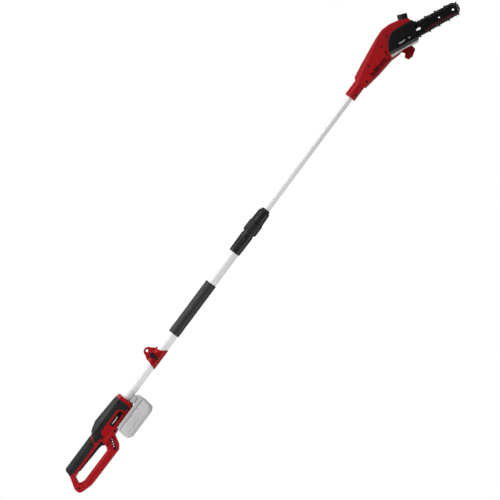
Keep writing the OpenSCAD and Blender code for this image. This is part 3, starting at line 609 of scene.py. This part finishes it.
handle = {
    "gripHalf": 17,
    "bodyHalf": 28,
    "guardHalf": 14,
    "bevel": [(1.2, 2.4), (2.2, 1.4)],
    "facetRuns": {"gripFacet": (20, 196, -1), "gripEdge": (52, 192, 1), "guardFacet": (30, 186, -1),
                  "guardEdge": (20, 212, 1)},
    "bodyRuns": {"bodyFacet": (180, 372, -1), "bodyEdge": (180, 336, 1)},
    "guardSlab": [[40, -9, 0], [120, -9, 0], [120, 250, 0], [40, 250, 0]],
    "tubeFoot": 300,               # the lower tube's end above the butt
    "wellRadius": 4.0,
    "wellDepth": 4.4,
    "triggerPocket": [(14.2, -6.6, 57), (33, 6.6, 193.2)],
    "buttonPocket": [(10.2, -40, 197.2), (21.8, -20, 210.8)],
    "dockWeb": [(36, -16, 272), (45, 16, 345)],
    "dockHead": [(44.9, -24, 272), (49, 24, 345)],
    "body": [[-24, 196, 12], [43, 194, 5], [45, 240, 5], [43, 264, 3], [38, 269, 2], [38, 335, 3],
             [41, 345, 4], [29, 362, 3], [-27, 362, 4], [-31, 335, 30], [-37, 235, 16]],
    "loop": [[-20, 36, 10], [4, 30, 14], [24, 17, 20], [50, 1, 24], [72, 0, 12], [87, 48, 60],
             [89, 206, 9], [76, 222, 10], [40, 242, 2], [-20, 242, 2]],
    "gap": [[24, 37, 8], [48, 26, 10], [57, 48, 20], [57.5, 178, 8], [50, 186, 6], [40, 190.6, 3],
            [22.5, 190.6, 2], [22, 62, 4]],
    "gripSkin": [[-30, 30, 2], [8, 26, 2], [14.5, 48, 6], [14.5, 165, 4], [7, 169.5, 12], [-6, 177.5, 14],
                 [-18, 181.5, 6], [-30, 181.5, 2]],
    "bodySkin": [[-45, 184.5, 2], [-17, 184.5, 4], [-5, 180.5, 3], [13, 170.5, 6], [15.5, 186, 2],
                 [18, 206, 3], [10, 212, 8], [4, 222, 6], [4, 312, 5], [10, 322, 6], [30, 325, 2],
                 [31, 349, 2], [-45, 349, 2]],
    "gripFacet": [(-3, -17.05), (-13.5, -12.5), (-20.5, -4), (-34, -4), (-34, -34), (-3, -34)],
    "gripEdge": [(15, -17.05), (21, -14.6), (24.2, -10), (34, -10), (34, -34), (15, -34)],
    "guardFacet": [(56.9, -5), (66.5, -14.05), (66.5, -24), (44, -24), (44, -5)],
    "guardEdge": [(84, -14.05), (89.5, -7), (100, -7), (100, -24), (84, -24)],
    "bodyFacet": [(-13, -28.05), (-31, -17), (-39, -6), (-60, -6), (-60, -50), (-13, -50)],
    "bodyEdge": [(33, -28.05), (38.2, -24), (48, -24), (48, -50), (33, -50)],
    "wells": [[-8, 241], [0, 161], [2, 46], [40, 250], [60, 14], [80, 200], [-7, 338], [34, 341]],
    "wellFaces": [28, 17, 17, 14, 14, 14, 28, 28],
    "skin": 0.9,
    "skinDepth": 1.2,
    "tubeRadius": 18.1,
}


# The columns that cut the long facets of both sides, moved out with the form
def facetColumns(runs, grow, lift):
    columns = []
    for key, (z0, z1, push) in runs.items():
        moved = [(x + push * grow * 0.6, y - grow * 0.8) for x, y in handle[key]]
        columns += [columnMesh(moved, z0, z1, lift), columnMesh(mirrored(moved), z0, z1, lift)]
    return columns


# The whole handle as one closed form, grown outwards by a distance in mm.
def handleSolid(name, grow, lift):
    steps = handle["bevel"]
    half = handle["gripHalf"] + grow
    loop = linkMesh(name, pillow(grown(handle["loop"], grow), -half, half, steps, steps, lift), None)
    side = handle["guardHalf"]
    slab = [prismMesh(handle["guardSlab"], -40, -side - grow, lift),
            prismMesh(handle["guardSlab"], side + grow, 40, lift)]
    gap = pillow(grown(handle["gap"], -grow), -24, 24, [], [], lift)
    carve(loop, gap, *facetColumns(handle["facetRuns"], grow, lift), *slab)
    half = handle["bodyHalf"] + grow
    body = linkMesh("bodyForm", pillow(grown(handle["body"], grow), -half, half, steps, steps, lift), None)
    carve(body, *facetColumns(handle["bodyRuns"], grow, lift))
    carve(loop, takeMesh(body), operation="UNION")
    return loop


# Bores, wells and pockets that open the handle's outside.
def carveHandle(form, lift, grow):
    turns = [a * math.pi / 24 for a in range(48)]
    bore = [(handle["tubeRadius"] * math.cos(a), handle["tubeRadius"] * math.sin(a)) for a in turns]
    cutters = [columnMesh(bore, handle["tubeFoot"] - 1, 380, lift)]
    for (x, z), face in zip(handle["wells"], handle["wellFaces"]):
        floor = face - handle["wellDepth"]
        cutters += [rodMesh(x, z, handle["wellRadius"], -40, -floor, lift)]
        if grow:
            cutters += [rodMesh(x, z, handle["wellRadius"], floor, 40, lift)]
    cutters += [boxMesh(*handle["triggerPocket"], lift), boxMesh(*handle["buttonPocket"], lift)]
    carve(form, *cutters)
    return form


def makeHandle():
    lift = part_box("lower_tube")[0].z - handle["tubeFoot"] * mm
    form = carveHandle(handleSolid("handleForm", 0, lift), lift, 0)
    rail = joinMeshes(boxMesh(*handle["dockWeb"], lift), boxMesh(*handle["dockHead"], lift))
    carve(form, rail, operation="UNION")
    soften(form, 0.95, 4)
    repaint(form, "red")
    near = halfOf(form, "handleNearShell", -1)
    far = halfOf(form, "handleFarShell", 1)
    place(near, "root", "red_housing", "handle_shell_near")
    place(far, "root", "red_housing", "handle_shell_far")
    bpy.data.objects.remove(form)
    print("handle shells", len(near.data.polygons), len(far.data.polygons))
    for name, region, node in (("gripOvermould", "gripSkin", "grip_skin"),
                               ("bodyOvermould", "bodySkin", "body_skin")):
        outer = carveHandle(handleSolid(name, handle["skin"], lift), lift, 1)
        carve(outer, prismMesh(handle[region], -60, 60, lift), operation="INTERSECT")
        carve(outer, takeMesh(handleSolid("skinCore", -handle["skinDepth"], lift)))
        soften(outer, 0.75, 3)
        repaint(outer, "softBlack")
        place(outer, "root", "soft_black", node)
        print(name, len(outer.data.polygons))
    return lift


head = {
    "near": 24,
    "far": 28,
    "bevel": [(2.0, 3.6), (3.6, 2.2)],
    "socketDepth": 45,             # the upper tube's length inside the socket
    "socketRadius": 20.5,
    "tubeBore": 12.6,
    "panelFloor": 20.9,
    "slotFloor": 18.6,
    "upperSlotFloor": 20.6,
    "nutWell": 25.8,
    "studHole": 4.6,
    "neckHole": 10.4,
    "capSeat": 19.4,
    "barHoles": (44, 66),
    "barDepth": 34,                # from the pole's middle plane to the bar's
    "reflectionBands": (-24.3, -34.5),       # where the cover's painted reflection turns grey, then pale
    "body": [[-22, 60, 2], [23, 60, 2], [33, 125, 40], [39, 195, 40], [48, 225, 30], [50, 262, 30],
             [44, 310, 20], [32, 343, 8], [0, 343, 4], [-25, 315, 3], [-41, 288, 16], [-51, 255, 18],
             [-49, 215, 30], [-36, 115, 60], [-28, 66, 5]],
    "hook": [[44, 234, 1], [62, 240, 6], [70, 227, 6], [84, 229, 7], [90, 246, 6], [82, 273, 6],
             [66, 276, 5], [44, 268, 1]],
    "webs": [[[50, 246, 0], [74, 240, 0], [75, 243, 0], [51, 249, 0]],
             [[52, 258, 0], [74, 254, 0], [75, 257, 0], [53, 261, 0]]],
    "cover": [[38, 198, 6], [44, 212, 12], [56, 249, 40], [80, 293, 7], [75, 307, 4], [46, 324, 14],
              [33, 343, 8], [17, 343, 4], [-6, 292, 40], [-15, 266, 16], [-8, 240, 20], [12, 211, 20]],
    "panel": [[13, 112, 3], [28, 106, 3], [35, 184, 3], [17, 186, 3]],
    "slots": [[[11, 137, 0], [29, 134, 0], [29.5, 137.5, 0], [11.5, 140.5, 0]],
              [[11, 128, 0], [28.5, 125, 0], [29, 128.5, 0], [11.5, 131.5, 0]],
              [[9, 107, 0], [26.5, 104, 0], [27, 107.5, 0], [9.5, 110.5, 0]],
              [[4, 202, 0], [38, 185, 0], [39.5, 188.5, 0], [5.5, 205.5, 0]]],
    "wells": [[-20, 248, 24], [-13, 206, 24], [-9, 126, 24], [18, 78, 24], [15.3, 18, 19]],
    "drive": [21, 259],
    "barLean": 24.3,
    "ridgeFade": 3.1,
    "capSpot": [-12.5, 329],
}


def inside(x, z, corners):
    turns = [(b[0] - a[0]) * (z - a[1]) - (b[1] - a[1]) * (x - a[0])
             for a, b in zip(corners, corners[1:] + corners[:1])]
    return min(turns) >= 0 or max(turns) <= 0


def atCap(bm, lift):
    spot = Matrix.Translation((head["capSpot"][0] * mm, 0, head["capSpot"][1] * mm + lift))
    turn = Matrix.Rotation(math.radians(16), 4, "X") @ Matrix.Rotation(math.radians(-48.5), 4, "Y")
    bmesh.ops.transform(bm, verts=bm.verts, matrix=spot @ turn)
    return bm


def zRod(r, z0, z1, lift=0.0, segments=64):
    bm = bmesh.new()
    bmesh.ops.create_cone(bm, cap_ends=True, segments=segments, radius1=r * mm, radius2=r * mm,
                          depth=(z1 - z0) * mm, matrix=Matrix.Translation((0, 0, (z0 + z1) / 2 * mm + lift)))
    return bm


def atBar(bm, lift):
    x, z = head["drive"]
    spot = Matrix.Translation((x * mm, -head["barDepth"] * mm, z * mm + lift))
    turn = Matrix.Rotation(math.radians(-90 + head["barLean"]), 4, "Y")
    bmesh.ops.transform(bm, verts=bm.verts, matrix=spot @ turn)
    return bm


def makeHead():
    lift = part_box("upper_tube")[1].z - head["socketDepth"] * mm
    steps = head["bevel"]
    form = linkMesh("headForm", pillow(head["body"], -head["near"], head["far"], steps, steps, lift), None)
    ridge = [(-24, -24.1), (-38, -16), (-52, -10), (-70, -10), (-70, -44), (-24, -44)]
    lean = []
    for points, way in ((ridge, 1), (mirrored(ridge), -1)):
        bm = columnMesh(points, -40, 230)
        bmesh.ops.transform(bm, verts=bm.verts, matrix=Matrix.Translation((0.018, 0, 0.06 + lift))
                            @ Matrix.Rotation(math.radians(-7), 4, "Y")
                            @ Matrix.Rotation(math.radians(way * head["ridgeFade"]), 4, "X"))
        lean.append(bm)
    carve(form, *lean)
    carve(form, zRod(head["socketRadius"], 0, 66, lift), operation="UNION")
    cutters = [zRod(head["tubeBore"], -5, head["socketDepth"] + 1, lift),
               prismMesh(head["panel"], -40, -head["panelFloor"], lift)]
    for outline in head["slots"]:
        floor = head["upperSlotFloor"] if outline[0][1] > 190 else head["slotFloor"]
        cutters.append(prismMesh(outline, -40, -floor, lift))
    cutters += [rodMesh(x, z, 3.9, -50, -face + 4.4, lift) for x, z, face in head["wells"]]
    cutters += [rodMesh(*head["drive"], head["nutWell"], -21, 16, lift, 96),
                rodMesh(*head["drive"], head["studHole"], -60, 0, lift)]
    cutters += [atCap(zRod(head["neckHole"], -20, 30), lift), atCap(zRod(head["capSeat"], 1, 40), lift)]
    cutters += [atBar(tiltedMesh(rodMesh(u, 0, 4.1, -10, 40), 0, 0, 0, 0), lift) for u in head["barHoles"]]
    carve(form, *cutters)
    soften(form, 0.95, 3)
    repaint(form, "red")
    near = halfOf(form, "headNearShell", -1)
    bm = bmesh.new()
    bm.from_mesh(near.data)
    for outline, margin in [(head["panel"], 0.3)] + [(slot, 0.1) for slot in head["slots"]]:
        wide = grown(outline, margin)
        low, high = [Vector((pick(c[0] for c in wide) * mm, 0, pick(c[1] for c in wide) * mm + lift))
                     for pick in (min, max)]
        for a, b in zip(wide, wide[1:] + wide[:1]):
            splitFaces(bm, (a[0] * mm, 0, a[1] * mm + lift), (b[1] - a[1], 0, a[0] - b[0]),
                       lambda c: low.x - mm < c.x < high.x + mm and low.z - mm < c.z < high.z + mm
                       and c.y < -18 * mm)
    bm.to_mesh(near.data)
    bm.free()
    # Paint 1, the darker red, is painted shade in the recessed panel; paint 2, black, is painted shade in the
    # slots.
    repaint(near, "red", "redPanelShade", "black")
    for face in near.data.polygons:
        x, y, z = face.center / mm
        if not -23.4 < y < -18:
            continue
        # The panel's floor takes the darker red as painted shade in the recess.
        if inside(x, z - lift / mm, grown(head["panel"], 0.3)):
            face.material_index = 1
        # The slots' floors take black as painted shade inside the slots and the gap line.
        if any(inside(x, z - lift / mm, grown(slot, 0.1)) for slot in head["slots"]):
            face.material_index = 2
    far = halfOf(form, "headFarShell", 1)
    bpy.data.objects.remove(form)
    hook = linkMesh("hookForm", pillow(head["hook"], 2, 16, [(1.5, 1.5)], [(1.5, 1.5)], lift), None)
    carve(hook, rodMesh(81, 258, 3.2, -10, 9, lift), *[prismMesh(web, 0, 3.2, lift) for web in head["webs"]])
    soften(hook, 0.7, 3)
    repaint(hook, "red")
    place(near, "upper_pole", "red_housing", "head_shell_near")
    place(far, "upper_pole", "red_housing", "head_shell_far")
    hook.name = "headHook"
    place(hook, "upper_pole", "red_housing", "head_shell_far")
    print("head shells", len(near.data.polygons), len(far.data.polygons), len(hook.data.polygons))
    makeCover(lift)
    return lift


# The chain cover: a black face, with a painted reflection on the lower side: a grey shoulder and a pale steep
# edge.
def makeCover(lift):
    cover = linkMesh("coverForm", pillow(head["cover"], -47, -24.1, [(1.0, 2.0), (2.0, 1.0)], [], lift), None)
    inside = pillow(grown(head["cover"], -3), -43.5, -10, [], [], lift)
    slab = boxMesh((20, -8, -33), (140, 20, 33))
    edge = [(-24, -47.1), (-34, -43.2), (-44, -33), (-60, -33), (-60, -70), (-24, -70)]
    wedges = []
    for points in (edge, [(v + 2.4, y + 2.4) for v, y in edge]):
        bm = bmesh.new()
        bm.faces.new([bm.verts.new((-90 * mm, (y + head["barDepth"]) * mm, v * mm)) for v, y in points])
        wedges.append(atBar(pushed(bm, (0.2, 0, 0)), lift))
    carve(cover, wedges[0])
    room = linkMesh("coverRoom", inside, None)
    carve(room, wedges[1])
    carve(cover, takeMesh(room), atBar(slab, lift))
    soften(cover, 0.75, 3)
    repaint(cover, "coverBlack", "coverReflectionGrey", "coverReflectionPale")
    lean = math.radians(head["barLean"])
    bm = bmesh.new()
    bm.from_mesh(cover.data)
    drive = Vector((head["drive"][0] * mm, 0, head["drive"][1] * mm + lift))
    across = Vector((-math.cos(lean), 0, math.sin(lean)))
    for band in head["reflectionBands"]:
        splitFaces(bm, drive + across * band * mm, across,
                   lambda c: abs((c - drive).dot(across) - band * mm) < 2 * mm)
    bm.to_mesh(cover.data)
    bm.free()
    # Faces on the lower side past each band take the painted reflection, grey and then pale.
    grey, pale = head["reflectionBands"]
    for face in cover.data.polygons:
        v = (face.center - drive).dot(across) / mm
        face.material_index = 0 if v > grey or face.center.y > -25.5 * mm else (1 if v > pale else 2)
    place(cover, "upper_pole", "black_plastic", "sprocket_cover")
    cover.name = "chainCover"
    print("cover", len(cover.data.polygons))


battery = {
    "case": [[54, 259, 2], [72, 257, 8], [92, 258, 9], [98, 270, 12], [98, 380, 16], [90, 395, 12],
             [54, 400, 2]],
    "half": 37.5,
    "grooves": [[[61, 261, 0], [63.2, 261, 0], [63.2, 396, 0], [61, 396, 0]],
                [[77, 262, 0], [78.6, 262, 0], [78.6, 394, 0], [77, 394, 0]]],
    "slot": [[85.5, 268, 2], [88.5, 268, 2], [88.5, 336, 2], [85.5, 336, 2]],
}


def makeBattery(lift):
    steps = [(1.6, 3.2), (3.0, 1.8)]
    half = battery["half"]
    case = linkMesh("packForm", pillow(battery["case"], -half, half, steps, steps, lift), None)
    cutters = []
    for way in (-1, 1):
        for line in battery["grooves"]:
            cutters.append(prismMesh(line, way * (half + 4), way * (half - 1.1), lift) if way > 0
                           else prismMesh(line, -half - 4, -half + 1.1, lift))
        line = battery["slot"]
        cutters.append(prismMesh(line, half - 2.2, half + 4, lift) if way > 0
                       else prismMesh(line, -half - 4, -half + 2.2, lift))
    carve(case, boxMesh((50, -33.5, 262), (57, 33.5, 396), lift), *cutters)
    soften(case, 0.9, 3)
    repaint(case, "packGrey")
    case.name = "packCase"
    place(case, "battery", "pack_grey", "battery_case")
    lid = nodeCopy("battery_lid", "packLid", paints["packTrim"], bevel=0.8, segments=3)
    place(lid, "battery", "pack_grey", "battery_lid")
    for side in ("near", "far"):
        latch = nodeCopy(f"pack_latch_{side}", f"packLatch{side.title()}", paints["packTrim"], bevel=0.6,
                         segments=3)
        place(latch, f"latch_{side}", "pack_grey", f"pack_latch_{side}")
    print("battery", len(case.data.polygons), len(lid.data.polygons))


def makePole():
    for node, name, body, slot, key in (
            ("lower_tube", "lowerPole", "root", "pole_white", "poleWhite"),
            ("upper_tube", "upperPole", "upper_pole", "pole_alu", "poleAlu")):
        place(nodeCopy(node, name, paints[key], bevel=0.25), body, slot, node)
    for node, name, body, slot, key, voxel in (
            ("lock_base", "lockBase", "root", "black_plastic", "black", 0.7),
            ("lock_sleeve", "lockSleeve", "lock_sleeve", "black_plastic", "black", 0.75),
            ("strap_carrier", "strapCarrier", "carrier", "red_housing", "red", 0.7),
            ("clamp_lever", "clampLever", "carrier_lever", "black_plastic", "black", 0.5),
            ("oil_cap", "oilCap", "oil_cap", "black_plastic", "black", 0.5),
            ("trigger", "triggerBlade", "trigger", "black_plastic", "black", 0.5),
            ("lock_off_button", "lockOffButton", "lock_off", "black_plastic", "black", 0.5)):
        piece = moulded(node, name, body, slot, key, voxel)
        print(name, len(piece.data.polygons))
    lo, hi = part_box("foam_grip")
    bottom, top = lo.z / mm, hi.z / mm
    inner = 18.05
    outer = hi.x / mm
    profile = [(inner, bottom), (outer - 1.8, bottom), (outer - 0.6, bottom + 0.5), (outer, bottom + 2.2)]
    steps = 40
    for i in range(1, steps):
        t = i / steps
        rough = 0.2 * math.sin(t * 41) * math.cos(t * 17)
        profile.append((outer - 0.22 + rough, bottom + 2.2 + t * (top - bottom - 4.4)))
    profile += [(outer, top - 2.2), (outer - 0.6, top - 0.5), (outer - 1.8, top), (inner, top)]
    foam = linkMesh("foamGrip", spunMesh(profile, 96), paints["foam"])
    smoothByAngle(foam, 40)
    place(foam, "root", "foam", "foam_grip")


coil = {"wire": 0.85, "pitch": 6.0, "stepsPerTurn": 16, "sides": 6}


# The stretching cable inside the pole, wound by a loop round the saw head's straight lead
def makeCoil():
    lo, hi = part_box("coiled_cable")
    radius = hi.x - coil["wire"] * mm
    turns = (hi.z - lo.z - 2 * coil["wire"] * mm) / (coil["pitch"] * mm)
    steps = int(turns * coil["stepsPerTurn"])
    rise = math.atan2(coil["pitch"] * mm, 2 * math.pi * radius)
    bm = bmesh.new()
    rings = []
    for i in range(steps + 1):
        a = 2 * math.pi * i / coil["stepsPerTurn"]
        out = Vector((math.cos(a), math.sin(a), 0))
        over = Vector((math.sin(a) * math.sin(rise), -math.cos(a) * math.sin(rise), math.cos(rise)))
        climb = coil["wire"] * mm + coil["pitch"] * mm * i / coil["stepsPerTurn"]
        middle = out * radius + Vector((0, 0, lo.z + climb))
        rings.append([bm.verts.new(middle + (out * math.cos(b) + over * math.sin(b)) * coil["wire"] * mm)
                      for b in [2 * math.pi * k / coil["sides"] for k in range(coil["sides"])]])
    for near, far in zip(rings, rings[1:]):
        for k in range(coil["sides"]):
            n = (k + 1) % coil["sides"]
            bm.faces.new((near[k], near[n], far[n], far[k]))
    bm.faces.new(rings[0])
    bm.faces.new(rings[-1])
    place(linkMesh("cableCoil", bm, paints["rubber"]), "root", "cable_jacket", "coiled_cable")
    print("coil", steps, "steps")


def makeBarAndChain():
    for node, name, key, slot, bevel in (
            ("guide_bar", "guideBar", "barBlack", "bar_black", 0.25),
            ("drive_links", "driveLinks", "chain", "chain_steel", 0.12),
            ("side_links", "sideLinks", "chain", "chain_steel", 0.12),
            ("chain_rivets", "chainRivets", "chain", "chain_steel", 0.1),
            ("bar_plate", "barPlate", "steel", "bright_steel", 0.2),
            ("bar_nut", "barNut", "screw", "screw_steel", 0.3),
            ("chain_tensioner", "chainTensioner", "steel", "bright_steel", 0.15),
            ("lock_wiper", "lockWiper", "rubber", "seal_rubber", 0.2)):
        piece = nodeCopy(node, name, paints[key], bevel=bevel)
        flatSides(piece)
        place(piece, "upper_pole" if node != "lock_wiper" else "lock_sleeve", slot, node)


# Screw heads with a star-shaped recess, set down in their wells.
def makeScrews(handleLift, headLift):
    sets = (("handleScrews", "handle_screws", "root", handleLift,
             [(x, z, face) for (x, z), face in zip(handle["wells"], handle["wellFaces"])]),
            ("headScrews", "head_screws", "upper_pole", headLift, head["wells"]))
    for name, node, body, lift, spots in sets:
        parts = []
        for x, z, face in spots:
            shank = rodMesh(x, z, 1.5, -face + 4.6, -face + 8, lift, 16)
            top = rodMesh(x, z, 3.5, -face + 2.2, -face + 4.6, lift, 32)
            face2 = [f for f in top.faces if f.normal.y < -0.9]
            bmesh.ops.inset_individual(top, faces=face2, thickness=0.5 * mm, depth=0.4 * mm)
            bmesh.ops.inset_individual(top, faces=face2, thickness=1.2 * mm, depth=0)
            bmesh.ops.inset_individual(top, faces=face2, thickness=0.25 * mm, depth=-1.3 * mm)
            parts += [shank, top]
        piece = linkMesh(name, joinMeshes(*parts), paints["screw"])
        smoothByAngle(piece, 35)
        place(piece, body, "screw_steel", node)


marks = {
    "thick": 0.3,
    "sunk": 0.05,                  # how far the films lie below their marks
    "dotHalf": (2.4, 1.7),
    "dotLean": 35,
    "plateBars": [[18.4, 264, 20.2, 296], [21.4, 270, 22.4, 288]],
    "infoDots": [(50, 220), (56.5, 215), (63, 210), (69.5, 205)],
    "coverLean": 21.8,
    "coverBars": [(35.5, 260.7, 26, 1.6), (37.6, 256.4, 16, 0.8), (46.8, 287.6, 9, 0.9),
                  (49.6, 286.4, 5, 0.9)],
}


def makeLabels(handleLift, headLift):
    for node, name, body in (("rating_plate", "ratingPlate", "root"), ("info_label", "infoLabel", "root"),
                             ("cover_label", "coverLabel", "upper_pole")):
        film = nodeCopy(node, name, paints["label"], bevel=0.15)
        film.data.transform(Matrix.Translation((0, marks["sunk"] * mm, 0)))
        flatSides(film)
        place(film, body, "label", node)
    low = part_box("rating_plate")[0].y / mm
    bars = [boxMesh((x0, low, z0), (x1, low + marks["thick"], z1), handleLift)
            for x0, z0, x1, z1 in marks["plateBars"]]
    plate = linkMesh("plateMarks", joinMeshes(*bars), paints["mark"], smooth=False)
    place(plate, "root", "label")
    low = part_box("info_label")[0].y / mm
    across, tall = marks["dotHalf"]
    dots = [tiltedMesh(boxMesh((-across, low, -tall), (across, low + marks["thick"], tall)), marks["dotLean"],
                       x, z, handleLift) for x, z in marks["infoDots"]]
    info = linkMesh("infoMarks", joinMeshes(*dots), paints["mark"], smooth=False)
    place(info, "root", "label")
    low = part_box("cover_label")[0].y / mm
    bars = [tiltedMesh(boxMesh((-wide / 2, low, -long / 2), (wide / 2, low + marks["thick"], long / 2)),
                       marks["coverLean"], x, z, headLift) for x, z, long, wide in marks["coverBars"]]
    place(linkMesh("coverMarks", joinMeshes(*bars), paints["mark"], smooth=False), "upper_pole", "label")


# A thin painted line along the lower side of the bar's face.
def makeStripe(lift):
    face = -2.2
    stripe = joinMeshes(*[tiltedMesh(boxMesh((0, face - 0.03, -0.55), (length, face + 0.2, 0.55)), turn,
                                     u, v, 0)
                          for u, v, length, turn in ((113, -13.6, 104, 0.8), (101, -18.0, 13, 342))])
    piece = linkMesh("barStripe", atBar(stripe, lift), paints["stripeRed"], smooth=False)
    place(piece, "upper_pole", "bar_black")


low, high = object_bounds()
right, up, back, aim = makeCamera(low, high)
makeStudio(low, high, right, up, back, aim)
bpy.context.scene.view_settings.view_transform = "Standard"
paints = paintsNow()
paints["foam"] = foamPaint()
print("studio ready")

nodePaints = {
    "red": ["strap_carrier", "handle_shell_near", "handle_shell_far", "head_shell_near", "head_shell_far"],
    "softBlack": ["grip_skin", "body_skin"],
    "label": ["rating_plate", "info_label", "cover_label"],
    "screw": ["handle_screws", "head_screws", "bar_stud", "bar_nut"],
    "black": ["trigger", "lock_off_button", "main_switch", "lock_base", "lock_collet", "lock_sleeve",
              "clamp_lever", "oil_cap"],
    "coverBlack": ["sprocket_cover"],
    "steel": ["trigger_pin", "trigger_spring", "sprocket_shaft", "shaft_bearings", "motor_bearings",
              "chain_tensioner", "bar_plate", "motor_pinion", "crown_gear", "drive_sprocket", "motor_can",
              "oil_pump"],
    "board": ["control_board", "pack_board"],
    "brass": ["battery_terminals"],
    "packGrey": ["battery_case", "battery_lid"],
    "packTrim": ["pack_latch_near", "pack_latch_far"],
    "cell": ["battery_cells"],
    "poleWhite": ["lower_tube"],
    "poleAlu": ["upper_tube"],
    "foam": ["foam_grip"],
    "rubber": ["lock_wiper", "cap_seal", "coiled_cable", "head_lead"],
    "white": ["guide_bush"],
    "copper": ["motor_rotor"],
    "cast": ["gear_case"],
    "tank": ["oil_tank", "oil_line"],
    "barBlack": ["guide_bar"],
    "chain": ["drive_links", "side_links", "chain_rivets"],
}
painted = set()
for key, names in nodePaints.items():
    for name in names:
        repaint(nodes[name], key)
        painted.add(name)
print("CAD nodes painted, left over:", sorted(set(nodes) - painted))

handleLift = makeHandle()
headLift = makeHead()
makeBattery(handleLift)
makePole()
makeCoil()
makeBarAndChain()
makeScrews(handleLift, headLift)
makeLabels(handleLift, headLift)
makeStripe(headLift)
